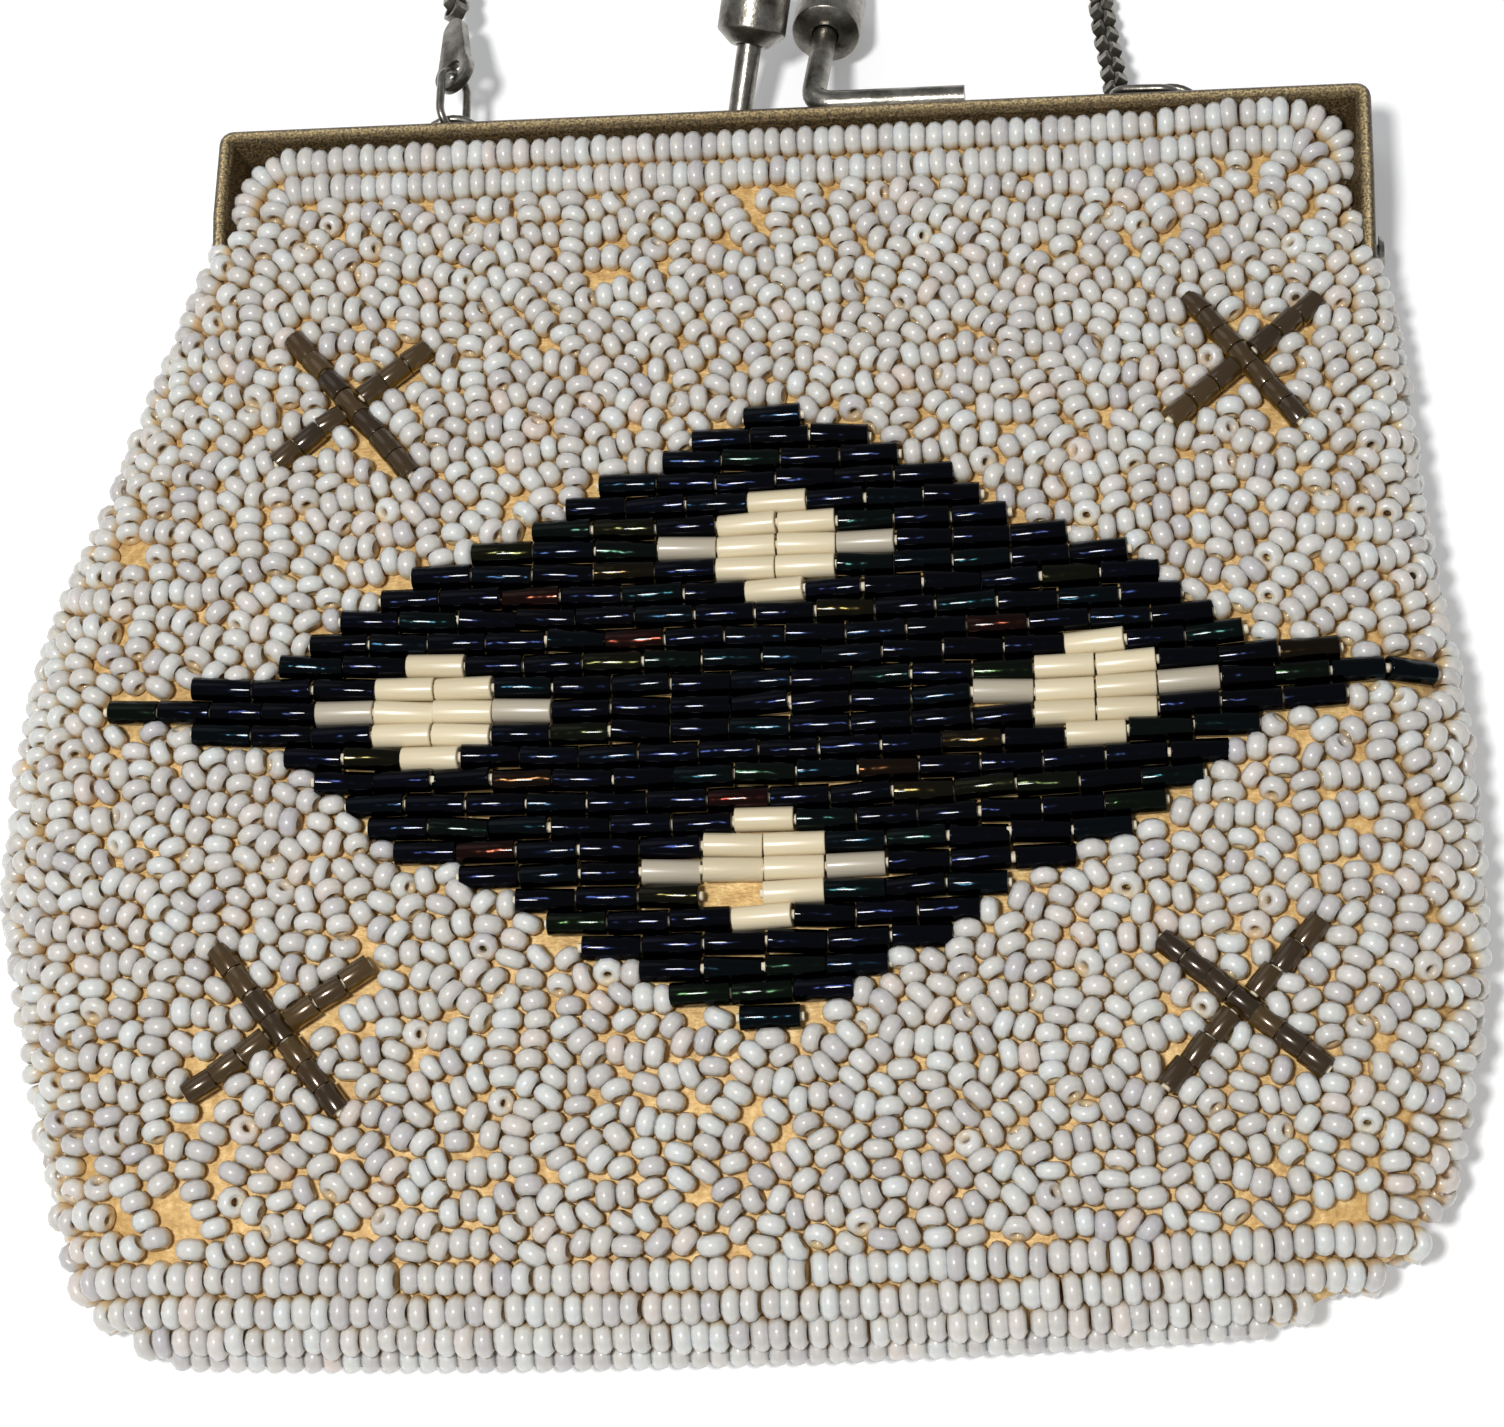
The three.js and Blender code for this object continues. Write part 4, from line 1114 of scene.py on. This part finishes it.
# %% Beads on the cloth
TILT_SPREAD = 0.11
FAR_TIPS = (0.45, 1.0)
BEAD_SIZE_SPREAD = 0.05
BEAD_SIZE_LIMIT = 0.12
TIPPED_SINK = 0.15
LIFT_SPREAD = (-0.08, 0.12)
TONE_SHAPE = (2.2, 2.0)
PAINTED_GLOW_LEVEL = 0.6
BEADS_IN_A_PIECE = 850


def round_ends(entries, radius, spacing):
    """Bugles as chains of round obstacles."""
    found = []
    for s, y, length, angle in entries:
        count = max(2, round(length / spacing))
        at = np.linspace(-0.5, 0.5, count) * (length - 2 * radius)
        found.append(np.stack([s + at * math.cos(angle), y + at * math.sin(angle)], -1))
    return np.concatenate(found)


def row_ends(rows):
    side = np.stack([-np.sin(rows[:, 2]), np.cos(rows[:, 2])], -1) * ROD_HALF
    return np.concatenate([rows[:, :2] - side, rows[:, :2] + side])


def bead_turns(panel, s, y, angles, tipped):
    """Turn of each bead: its hole runs along the thread, tipped a little or, on some, a lot."""
    across, up, out = panel.ways(s, y)
    if panel is back_panel:
        out = -out
    thread = across * np.cos(angles)[:, None] + up * np.sin(angles)[:, None]
    tips = random.normal(0, TILT_SPREAD, len(s))
    far_tips = random.uniform(*FAR_TIPS, len(s)) * random.choice((-1, 1), len(s))
    tips = np.where(tipped, far_tips, tips)[:, None]
    axis = thread * np.cos(tips) + out * np.sin(tips)
    side = np.cross(out, thread)
    return np.stack([side, np.cross(axis, side), axis], -1), out


def sew_beads(name, panel, rows, packed, shape):
    on_row = np.column_stack([rows, np.zeros(len(rows))])
    entries = np.concatenate([on_row, packed])
    s, y, angles = entries[:, 0], entries[:, 1], entries[:, 2]
    tipped = entries[:, 3] > 0.5
    turns, out = bead_turns(panel, s, y, angles, tipped)
    places = panel.point(s, y)
    lift = bead_lift(panel, places) - TIPPED_SINK * tipped + random.uniform(*LIFT_SPREAD, len(s))
    places = places + out * lift[:, None]
    sizes = random.normal(0, BEAD_SIZE_SPREAD, (len(s), 2)).clip(-BEAD_SIZE_LIMIT, BEAD_SIZE_LIMIT)
    sizes = 1 + sizes
    sizes = sizes * bead_share(y)[:, None]
    sizes[:len(rows)] *= ROW_BEAD_SHARES
    places[:, 2] = np.maximum(places[:, 2], BEAD_RADIUS * sizes[:, 0])
    turns = turns * np.stack([sizes[:, 0], sizes[:, 0], sizes[:, 1]], -1)[:, None]
    tones = random.beta(*TONE_SHAPE, len(s))
    # Points near the cloth get the painted glow, warm light from the gold cloth painted into the colour.
    rise = np.einsum("ni,nij,vj->nv", out, turns, shape[0]) / BEAD_RADIUS
    painted_glow_shares = np.clip(1 - rise / PAINTED_GLOW_LEVEL, 0, 1)
    order = np.argsort(-y, kind="stable")
    groups = np.array_split(order, math.ceil(len(s) / BEADS_IN_A_PIECE))
    for i, group in enumerate(groups):
        beads = stamp(f"{name}_{i + 1}", shape, turns[group], places[group], tones[group], PEARL,
                      ["pouch"])
        # The foot attribute carries the painted glow.
        mark_points(beads.data, "foot", painted_glow_shares[group], len(group))


print("beads in a piece, at most:", BEADS_IN_A_PIECE)

# %% Sew the seed beads on both panels
BUGLE_SPACING = 0.95
CROSS_RADIUS = 0.85
CROSS_SPACING = 0.9
MOTIF_RADIUS = 0.9

front_rows = panel_rows(front_panel)
bugle_entries = [(s, y, length, 0.0) for places in bugles.values() for s, y, length, tone in places]
bugle_entries.append(lost_place)
motif_ends = np.concatenate([
    round_ends(bugle_entries, BUGLE_RADIUS, BUGLE_SPACING),
    round_ends(cross_places, CROSS_RADIUS, CROSS_SPACING),
])
front_fixed = np.concatenate([motif_ends, row_ends(front_rows)])
motif_sizes = np.full(len(motif_ends), MOTIF_RADIUS)
front_sizes = np.concatenate([motif_sizes, np.full(2 * len(front_rows), ROD_RADIUS)])
front_packed = pack_panel(front_panel, front_fixed, front_sizes, True)
sew_beads("front_seed_beads", front_panel, front_rows, front_packed, FRONT_BEAD_SHAPE)

back_rows = panel_rows(back_panel)
back_fixed = row_ends(back_rows)
back_packed = pack_panel(back_panel, back_fixed, np.full(len(back_fixed), ROD_RADIUS), False)
sew_beads("back_seed_beads", back_panel, back_rows, back_packed, BACK_BEAD_SHAPE)

# %% [markdown]
# Front and back meet in a fold at the bottom, and one row of beads runs along it. The panels end
# there, so this row is set on the fold's own line, half way between front and back.

# %% Row of beads along the bottom fold
FOLD_DROP = 0.35
FOLD_LEFT = -43.5
FOLD_RIGHT = 36

fold_x = np.arange(FOLD_LEFT, FOLD_RIGHT, ROW_BEAD_PITCH)
fold_y = POUCH_BOTTOM - FOLD_DROP + row_rise(fold_x, POUCH_BOTTOM)
fold_level = (SECTION_TABLE[0, SECTION_COLUMNS.index("front")]
              + SECTION_TABLE[0, SECTION_COLUMNS.index("back")]) / 2
fold_middle = np.stack([fold_x, fold_y, np.full_like(fold_x, fold_level)], -1)
fold_turn = np.broadcast_to(np.array([[0, 0, 1.0], [1, 0, 0], [0, 1, 0]]), (len(fold_x), 3, 3))
fold_tones = random.beta(*TONE_SHAPE, len(fold_x))
stamp("fold_seed_beads", FRONT_BEAD_SHAPE, fold_turn, fold_middle, fold_tones, PEARL)

# %% [markdown]
# The chain is a box chain: each link is a ring of flat wire, turned a quarter against the next.
# A link is a small rectangle spun in eight steps, which gives it flat sides and broken corners
# that catch the light. The links follow the same route as the tube they replace, a smooth curve
# through a few chosen points, one link for each step.

# %% Chain links
CHAIN_ROUTE = np.array([
    [-28.9, 65.7, 4.7], [-29.2, 71, 3.2], [-29.5, 77, 1.8], [-29.9, 84, 1.35], [-30.6, 96, 1.2],
    [-31.6, 116, 1.2], [-32.2, 136, 1.2], [-31.2, 154, 1.2], [-26.5, 171, 1.2], [-16.5, 186, 1.2],
    [-2, 192.5, 1.2], [12.5, 187.5, 1.2], [23.5, 174, 1.2], [28.5, 156, 1.2], [29.6, 136, 1.2],
    [28.4, 116, 1.2], [26.6, 96, 1.2], [25.4, 80, 1.2], [25.3, 70, 1.3], [25.85, 63.5, 2.2],
    [26.5, 58.5, 3.8], [26.9, 55.1, 5.1],
])
LINK_PITCH = 1.0
LINK_LENGTH = 1.56
LINK_BREADTH = 2.0
LINK_BAND = 1.1
LINK_WIRE = 0.26
LINK_SOFTNESS = 0.06
LINK_SIDES = 8
FIRST_LINK = 0.4
SPAN_STEPS = 24


def smooth_route(points, per_span):
    """Curve through the points, with spans weighted by the root of their length."""
    ends = np.vstack([2 * points[0] - points[1], points, 2 * points[-1] - points[-2]])
    knots = np.concatenate([[0], np.cumsum(np.sqrt(np.linalg.norm(np.diff(ends, axis=0), axis=1)))])
    route = []
    for i in range(1, len(ends) - 2):
        t = np.linspace(knots[i], knots[i + 1], per_span, endpoint=False)[:, None]
        p, k = ends[i - 1:i + 3], knots[i - 1:i + 3]
        a = [((k[j + 1] - t) * p[j] + (t - k[j]) * p[j + 1]) / (k[j + 1] - k[j]) for j in range(3)]
        b = [((k[j + 2] - t) * a[j] + (t - k[j]) * a[j + 1]) / (k[j + 2] - k[j]) for j in range(2)]
        route.append(((k[2] - t) * b[0] + (t - k[1]) * b[1]) / (k[2] - k[1]))
    return np.vstack([*route, points[-1:]])


def link_shape():
    """Ring of flat wire with its opening along Z: a section of the wire spun in eight steps."""
    outer, inner, half = LINK_LENGTH / 2, LINK_LENGTH / 2 - LINK_WIRE, LINK_BAND / 2
    soft = LINK_SOFTNESS
    section = [
        (inner, half), (inner, -half), (outer - soft, -half),
        (outer, -half + soft), (outer, half - soft), (outer - soft, half),
    ]
    half_step = math.pi / LINK_SIDES
    bm = spun([(reach / math.cos(half_step), height) for reach, height in section], LINK_SIDES)
    bmesh.ops.rotate(bm, verts=bm.verts, matrix=Matrix.Rotation(half_step, 3, "Z"))
    bmesh.ops.scale(bm, verts=bm.verts, vec=(1, LINK_BREADTH / LINK_LENGTH, 1))
    return shape_arrays(bm)


route = smooth_route(CHAIN_ROUTE, SPAN_STEPS)
lengths = np.concatenate([[0], np.cumsum(np.linalg.norm(np.diff(route, axis=0), axis=1))])
stops = np.arange(FIRST_LINK, lengths[-1], LINK_PITCH)
link_places = np.stack([np.interp(stops, lengths, route[:, axis]) for axis in range(3)], -1)
link_ways = unit(np.gradient(link_places, axis=0))
level_side = unit(np.cross(np.array([0, 0, 1.0]), link_ways))
raised_side = np.cross(link_ways, level_side)
quarter = np.where(np.arange(len(stops)) % 2 == 0, 1.0, -1.0)[:, None]
opening = unit(raised_side + quarter * level_side)
link_turns = np.stack([link_ways, np.cross(opening, link_ways), opening], -1)
chain = stamp("chain_links", link_shape(), link_turns, link_places, np.zeros(len(stops)), NICKEL,
              ["chain"])
chain.data.set_sharp_from_angle(angle=SHARP_ANGLE)
print("chain length:", lengths[-1].round(1), "mm")

# %% [markdown]
# The frame is two shallow trays of pressed metal that face each other. The wall of a tray has a
# rounded rim, a sloping inside and a flat flange that the cloth is sewn to. The section is carried
# up one leg, across the top and down the other. Near the corners only the rim turns in an arc, and
# the deeper points share one mitre, as in a pressed sheet.

# %% Section and stations of a tray
FRAME_HALF_WIDTH = 47.15
FRAME_TOP = 52.55
FRAME_CORNER = 1.2
PARTING_LEVEL = 5.2
PARTING_GAP = 0.15
LEG_END = 37.4
LEG_TAPER = 44.6
RIM_HEIGHT = 4.6
RIM_HEIGHT_AT_LEG_END = 2.9
RIM_RADIUS = 0.65
RIM_STEPS = 7
SLOPE_FOOT = 2.3
FLANGE_WIDTH = 6.0
FLANGE_THICKNESS = 1.2
CORNER_STEPS = 5
PAINTED_HIGHLIGHT_RIM_TONES = (0.12, 0.45)
SLOPE_SHARES = (0.35, 0.7, 1.0)
SLOPE_TONES = (0.45, 0.9)
SLOPE_FOOT_RISE = 0.3
FLANGE_TONE = 0.75
FLANGE_START = 0.4


def tray_wall(rim):
    """Depth from the outside, height off the parting and tone, round the section of a tray."""
    wall = [(0, PARTING_GAP, 0.0)]
    for turn in np.linspace(0, math.pi, RIM_STEPS):
        depth = RIM_RADIUS * (1 - math.cos(turn))
        # Round the rim the tone passes the brass's painted highlight band.
        tone = np.interp(turn, (0, math.pi), PAINTED_HIGHLIGHT_RIM_TONES)
        wall.append((depth, rim - RIM_RADIUS + RIM_RADIUS * math.sin(turn), tone))
    foot = FLANGE_THICKNESS + SLOPE_FOOT_RISE
    for share in SLOPE_SHARES:
        depth = 2 * RIM_RADIUS + (SLOPE_FOOT - 2 * RIM_RADIUS) * math.sqrt(share)
        height = (rim - RIM_RADIUS) * (1 - share) + foot * share
        wall.append((depth, height, np.interp(share, (0, 1), SLOPE_TONES)))
    wall.append((SLOPE_FOOT + FLANGE_START, FLANGE_THICKNESS, FLANGE_TONE))
    wall.append((FLANGE_WIDTH, FLANGE_THICKNESS, FLANGE_TONE))
    wall.append((FLANGE_WIDTH, PARTING_GAP, FLANGE_TONE))
    return wall + wall[:1]


def tray_stations():
    """Side of the frame, turn of the wall from sideways to upright, place on a leg and rim height."""
    leg = [(0, LEG_END, RIM_HEIGHT_AT_LEG_END), (0, LEG_TAPER, RIM_HEIGHT)]
    corner = [(turn, None, RIM_HEIGHT) for turn in np.linspace(0, math.pi / 2, CORNER_STEPS)]
    half = leg + corner
    return [(-1, *station) for station in half] + [(1, *station) for station in half[::-1]]


def tray_point(side, turn, leg_y, depth):
    if leg_y is not None:
        return side * (FRAME_HALF_WIDTH - depth), leg_y
    reach = max(FRAME_CORNER - depth, 0)
    inset = FRAME_CORNER + max(depth - FRAME_CORNER, 0)
    x = FRAME_HALF_WIDTH - inset + reach * math.cos(turn)
    return side * x, FRAME_TOP - inset + reach * math.sin(turn)


print("points round a tray's wall:", len(tray_wall(RIM_HEIGHT)), "at", len(tray_stations()), "stations")

# %% [markdown]
# A curve with a bevel could follow the frame, but it can't change its section at the corners. So a
# flat grid is bent: its columns go round the section and its rows follow the stations. Then the seam
# is merged, the ends are filled, and a round lug is added at each hinge.

# %% Frame trays
HINGE_Y = 39.4
LUG_RADIUS = 2.0
LUG_THICKNESS = 0.9
LUG_SIDES = 28
FRONT_LUG_X = 46.7
BACK_LUG_X = 45.5
MERGE_REACH = 1e-4


def bent_grid(columns, rows):
    """Grid whose points are found again by column and row."""
    bm = bmesh.new()
    bm.verts.layers.float.new("tone")
    bmesh.ops.create_grid(bm, x_segments=columns, y_segments=rows, size=0.5)
    places = []
    for vert in bm.verts:
        places.append((vert, round((vert.co.x + 0.5) * columns), round((vert.co.y + 0.5) * rows)))
    return bm, places


def close_up(bm):
    bmesh.ops.remove_doubles(bm, verts=bm.verts, dist=MERGE_REACH)
    bmesh.ops.holes_fill(bm, edges=[edge for edge in bm.edges if edge.is_boundary], sides=0)


def tray(facing, lug_x):
    stations = tray_stations()
    bm, places = bent_grid(len(tray_wall(RIM_HEIGHT)) - 1, len(stations) - 1)
    tones = bm.verts.layers.float["tone"]
    for vert, column, row in places:
        side, turn, leg_y, rim = stations[row]
        depth, height, tone = tray_wall(rim)[column]
        x, y = tray_point(side, turn, leg_y, depth)
        vert.co = (x, y, PARTING_LEVEL + facing * height)
        vert[tones] = tone
    close_up(bm)
    for side in (-1, 1):
        hinge = Matrix.Translation((side * lug_x, HINGE_Y, PARTING_LEVEL))
        across = hinge @ Matrix.Rotation(math.pi / 2, 4, "Y")
        bmesh.ops.create_cone(bm, cap_ends=True, segments=LUG_SIDES, radius1=LUG_RADIUS,
                              radius2=LUG_RADIUS, depth=LUG_THICKNESS, matrix=across)
    return bm


finish_piece("front_tray", tray(1, FRONT_LUG_X), BRASS, ["front_frame"])
finish_piece("back_tray", tray(-1, BACK_LUG_X), BRASS, ["back_frame"])

# %% [markdown]
# Stems, arches and bails are wire. A tube is a grid rolled up along a route, with each ring of
# points square to the way the route runs. A closed bail is easier: a small circle is spun into a
# ring, and the far half of the ring is moved away to make it long.

# %% Wire shapes
WIRE_RADIUS = 0.35
WIRE_SIDES = 10
CROSS_WAY = (0.3, 0.2, 1.0)


def rolled_tube(route, radius, sides):
    ways = unit(np.gradient(route, axis=0))
    side = unit(np.cross(ways, CROSS_WAY))
    other = np.cross(ways, side)
    bm, places = bent_grid(sides, len(route) - 1)
    for vert, column, row in places:
        angle = 2 * math.pi * column / sides
        vert.co = route[row] + radius * (math.cos(angle) * side[row] + math.sin(angle) * other[row])
    close_up(bm)
    return bm


def bend_route(start, corner, end, reach, steps):
    """Straight, then a rounded corner, then straight again."""
    start, corner, end = np.array(start), np.array(corner), np.array(end)
    into, out = unit(start - corner), unit(end - corner)
    t = np.linspace(0, 1, steps)[:, None]
    bend = corner + into * reach * (1 - t) ** 2 + out * reach * t ** 2
    return np.vstack([start, bend, end])


def turned_to(origin, along, side):
    """Matrix whose Y runs along a way and whose X lies nearest to a side."""
    y = Vector(along).normalized()
    x = (Vector(side) - y * Vector(side).dot(y)).normalized()
    turn = Matrix((x, y, x.cross(y))).transposed().to_quaternion()
    return Matrix.LocRotScale(Vector(origin), turn, None)


print("wire thickness:", 2 * WIRE_RADIUS, "mm")

# %% [markdown]
# The kiss lock is two barrel knobs on stems that snap past each other. A knob is turned on a lathe,
# so its outline is spun round its axis, and a small bevel softens the edges where light catches. The
# front stem is bent, and its foot lies along the top of the frame.

# %% Kiss lock
STEM_RADIUS = 1.0
STEM_SIDES = 16
BACK_STEM = {"x": -4.8, "level": 3.4, "lean": 22, "swing": 9.5, "length": 11.7, "cone": 1.1}
FRONT_STEM = {"x": 2.2, "level": 8.6, "lean": -23, "swing": 3.5, "length": 12.1, "cone": 0.35}
STEM_FOOT_LENGTH = 12.5
STEM_BEND = 2.0
STEM_SINK = 0.3
STEM_STEPS = 6
BEND_STEPS = 9
KNOB_RADIUS = 2.85
KNOB_LENGTH = 6.0
KNOB_ROUND = 0.5
KNOB_BORE_DEPTH = 3.0
KNOB_CLEARANCE = 0.1
KNOB_FOOT_WIDTH = 0.5
KNOB_CORE = 0.2
KNOB_SIDES = 48
EDGE_SOFTNESS = 0.12


def stem_way(stem):
    lean, swing = math.radians(stem["lean"]), math.radians(stem["swing"])
    return unit(np.array([math.sin(swing), math.cos(lean) * math.cos(swing), math.sin(lean)]))


def soften_edges(bm, offset):
    bmesh.ops.recalc_face_normals(bm, faces=bm.faces)
    sharp = [edge for edge in bm.edges if edge.is_manifold and edge.calc_face_angle() > SHARP_ANGLE]
    bmesh.ops.bevel(bm, geom=sharp, offset=offset, offset_type="OFFSET", segments=2, profile=0.5,
                    affect="EDGES", material=-1, clamp_overlap=True)


def knob(stem, root):
    bore = STEM_RADIUS + KNOB_CLEARANCE
    bm = spun([
        (bore, KNOB_BORE_DEPTH), (bore, 0), (bore + KNOB_FOOT_WIDTH, 0), (KNOB_RADIUS, stem["cone"]),
        (KNOB_RADIUS, KNOB_LENGTH - KNOB_ROUND), (KNOB_RADIUS - KNOB_ROUND, KNOB_LENGTH),
        (KNOB_CORE, KNOB_LENGTH), (KNOB_CORE, KNOB_BORE_DEPTH),
    ], KNOB_SIDES)
    soften_edges(bm, EDGE_SOFTNESS)
    way = stem_way(stem)
    foot = root + way * (stem["length"] - KNOB_BORE_DEPTH + STEM_SINK)
    upright = Matrix.Rotation(-math.pi / 2, 4, "X")
    bmesh.ops.transform(bm, matrix=turned_to(foot, way, (1, 0, 0)) @ upright, verts=bm.verts)
    return bm


back_root = np.array([BACK_STEM["x"], FRAME_TOP - RIM_RADIUS, BACK_STEM["level"]])
front_root = np.array([FRONT_STEM["x"], FRAME_TOP + STEM_RADIUS - STEM_SINK, FRONT_STEM["level"]])
back_end = back_root + stem_way(BACK_STEM) * BACK_STEM["length"]
front_end = front_root + stem_way(FRONT_STEM) * FRONT_STEM["length"]
foot_end = front_root + np.array([STEM_FOOT_LENGTH, 0, 0])
straight_route = np.linspace(back_root, back_end, STEM_STEPS)
straight_stem = rolled_tube(straight_route, STEM_RADIUS, STEM_SIDES)
finish_piece("back_stem", straight_stem, NICKEL, ["back_frame"])
bent_route = bend_route(foot_end, front_root, front_end, STEM_BEND, BEND_STEPS)
bent_stem = rolled_tube(bent_route, STEM_RADIUS, STEM_SIDES)
finish_piece("front_stem", bent_stem, NICKEL, ["front_frame"])
finish_piece("back_knob_turned", knob(BACK_STEM, back_root), NICKEL, ["back_knob"])
finish_piece("front_knob_turned", knob(FRONT_STEM, front_root), NICKEL, ["front_knob"])

# %% [markdown]
# The chain hangs on the frame by small wire parts: a low arch at each side, a long ring through it,
# and on the left a drop-shaped plate with an eye. The plate could be cut out with a boolean. Bridging
# a drop and a circle gives the same ring with clean faces.

# %% Chain fittings
ARCH_LEVEL = 7.0
ARCH_HALF_WIDTH = 2.5
ARCH_RISE = 1.7
ARCH_STEPS = 15
BAIL_RISE = 0.69
BAIL_HALF_WIDTH = 1.6
BAIL_LENGTH = 5.6
BAIL_STEPS = 32
BAIL_Y = FRAME_TOP + BAIL_RISE
LEFT_BAIL = {
    "root": (-28.0, BAIL_Y, ARCH_LEVEL), "way": (-0.03, 0.998, -0.05), "side": (0.52, 0, -0.854),
}
RIGHT_BAIL = {
    "root": (32.1, BAIL_Y, ARCH_LEVEL), "way": (-0.985, 0.1, -0.12), "side": (0, 0, 1),
}
ARCH_PLACES = {"arch_left": -28.0, "arch_right": 31.2}
PLATE_EYE = 1.9
PLATE_HOLE = 0.95
PLATE_LENGTH = 6.2
PLATE_NECK = 1.2
PLATE_THICKNESS = 0.9
PLATE_WAY = (-0.09, 0.965, -0.25)
PLATE_POINTS = 32
PLATE_SHOULDER = 0.6
PLATE_NECK_FLARE = 1.25


def arch(x):
    foot = FRAME_TOP - RIM_RADIUS
    turns = np.linspace(0, math.pi, ARCH_STEPS)
    across = x + ARCH_HALF_WIDTH * np.cos(turns)
    up = foot + (ARCH_RISE + RIM_RADIUS) * np.sin(turns)
    bow = np.stack([across, up, np.full_like(up, ARCH_LEVEL)], -1)
    return rolled_tube(bow, WIRE_RADIUS, WIRE_SIDES)


def bail(end):
    turns = [2 * math.pi * i / WIRE_SIDES for i in range(WIRE_SIDES)]
    section = [(BAIL_HALF_WIDTH + WIRE_RADIUS * math.cos(t), WIRE_RADIUS * math.sin(t)) for t in turns]
    bm = spun(section, BAIL_STEPS)
    far = [vert for vert in bm.verts if vert.co.y > MERGE_REACH]
    bmesh.ops.translate(bm, verts=far, vec=(0, BAIL_LENGTH - 2 * BAIL_HALF_WIDTH, 0))
    bmesh.ops.translate(bm, verts=bm.verts, vec=(0, BAIL_HALF_WIDTH, 0))
    bmesh.ops.transform(bm, matrix=turned_to(end["root"], end["way"], end["side"]), verts=bm.verts)
    return bm


def drop_plate(end):
    """Ring between a drop-shaped outline and a round hole, made thick and softened at its edges."""
    bm = bmesh.new()
    hole = bmesh.ops.create_circle(bm, segments=PLATE_POINTS, radius=PLATE_HOLE)["verts"]
    drop = bmesh.ops.create_circle(bm, segments=PLATE_POINTS, radius=PLATE_EYE)["verts"]
    for vert in drop:
        if vert.co.y > PLATE_EYE * PLATE_SHOULDER:
            vert.co.x *= PLATE_NECK / PLATE_EYE * PLATE_NECK_FLARE
            share = (vert.co.y / PLATE_EYE - PLATE_SHOULDER) / (1 - PLATE_SHOULDER)
            vert.co.y = PLATE_LENGTH - PLATE_NECK + share * PLATE_NECK
    bmesh.ops.bridge_loops(bm, edges=bm.edges[:])
    thick = bmesh.ops.extrude_face_region(bm, geom=bm.faces[:])["geom"]
    upper = [item for item in thick if isinstance(item, bmesh.types.BMVert)]
    bmesh.ops.translate(bm, verts=upper, vec=(0, 0, PLATE_THICKNESS))
    bmesh.ops.translate(bm, verts=bm.verts, vec=(0, 0, -PLATE_THICKNESS / 2))
    soften_edges(bm, EDGE_SOFTNESS)
    way = Vector(end["way"]).normalized()
    eye = Vector(end["root"]) + way * BAIL_LENGTH
    across = Vector(PLATE_WAY).cross(Vector(end["side"]))
    bmesh.ops.transform(bm, matrix=turned_to(eye, PLATE_WAY, across), verts=bm.verts)
    return bm


for name, x in ARCH_PLACES.items():
    finish_piece(name, arch(x), NICKEL, ["front_frame"])
finish_piece("bail_left_wire", bail(LEFT_BAIL), NICKEL, ["bail_left"])
finish_piece("bail_right_wire", bail(RIGHT_BAIL), NICKEL, ["bail_right"])
finish_piece("chain_end_left_plate", drop_plate(LEFT_BAIL), NICKEL, ["chain_end_left"])

# %% [markdown]
# A rivet holds each hinge of the frame together. Its solid is already a turned rivet with a domed
# head, so it is kept and only gets the nickel finish.

# %% The rivets get the nickel finish
for name in ("hinge_rivet_left", "hinge_rivet_right"):
    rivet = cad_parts[name]
    rivet.data.materials.clear()
    rivet.data.materials.append(NICKEL)
    print(name, "kept")

# %% [markdown]
# The floor is a plain pale sheet that glows a little, as a white studio floor does when it is lit
# from all round. One soft lamp hangs close to the camera, so that few shadows show and every bead
# has a small highlight. A wide weak lamp behind the bag and an even pale world fill the rest.

# %% Floor and light
FLOOR_GLOW = 0.2
FLOOR_SIZE = 3
FLOOR_COLOUR = (0.92, 0.92, 0.92, 1)
FLOOR_ROUGHNESS = 0.7
WORLD_STRENGTH = 0.3
WORLD_COLOUR = (0.95, 0.97, 1.0, 1)
KEY_LAMP = {"place": (-0.09, -0.13, 0.52), "size": 0.08, "watts": 2.25}
FILL_LAMP = {"place": (-0.6, 0.6, 0.9), "size": 0.8, "watts": 0.9}

floor_mesh = bmesh.new()
bmesh.ops.create_grid(floor_mesh, x_segments=2, y_segments=2, size=FLOOR_SIZE)
floor_data = bpy.data.meshes.new("floor")
floor_mesh.to_mesh(floor_data)
floor_mesh.free()
floor = bpy.data.objects.new("floor", floor_data)
bpy.context.scene.collection.objects.link(floor)
floor_material, floor_tree, floor_shader = new_material("pale_floor")
set_values(floor_shader, Base_Color=FLOOR_COLOUR, Roughness=FLOOR_ROUGHNESS)
set_values(floor_shader, Emission_Color=(1, 1, 1, 1), Emission_Strength=FLOOR_GLOW)
floor_data.materials.append(floor_material)


def soft_lamp(name, place, size, watts):
    """Round lamp that shines on the middle of the bag."""
    lamp = bpy.data.objects.new(name, bpy.data.lights.new(name, "AREA"))
    lamp.data.shape = "DISK"
    lamp.data.size = size
    lamp.data.energy = watts
    lamp.location = place
    lamp.rotation_euler = (-Vector(place)).to_track_quat("-Z", "Y").to_euler()
    bpy.context.scene.collection.objects.link(lamp)


soft_lamp("key_lamp", **KEY_LAMP)
soft_lamp("fill_lamp", **FILL_LAMP)
world = bpy.data.worlds.new("studio")
world.use_nodes = True
background = world.node_tree.nodes["Background"]
background.inputs["Color"].default_value = WORLD_COLOUR
background.inputs["Strength"].default_value = WORLD_STRENGTH
bpy.context.scene.world = world
bpy.context.scene.view_settings.view_transform = "Standard"
print("lamps:", len(bpy.data.lights))
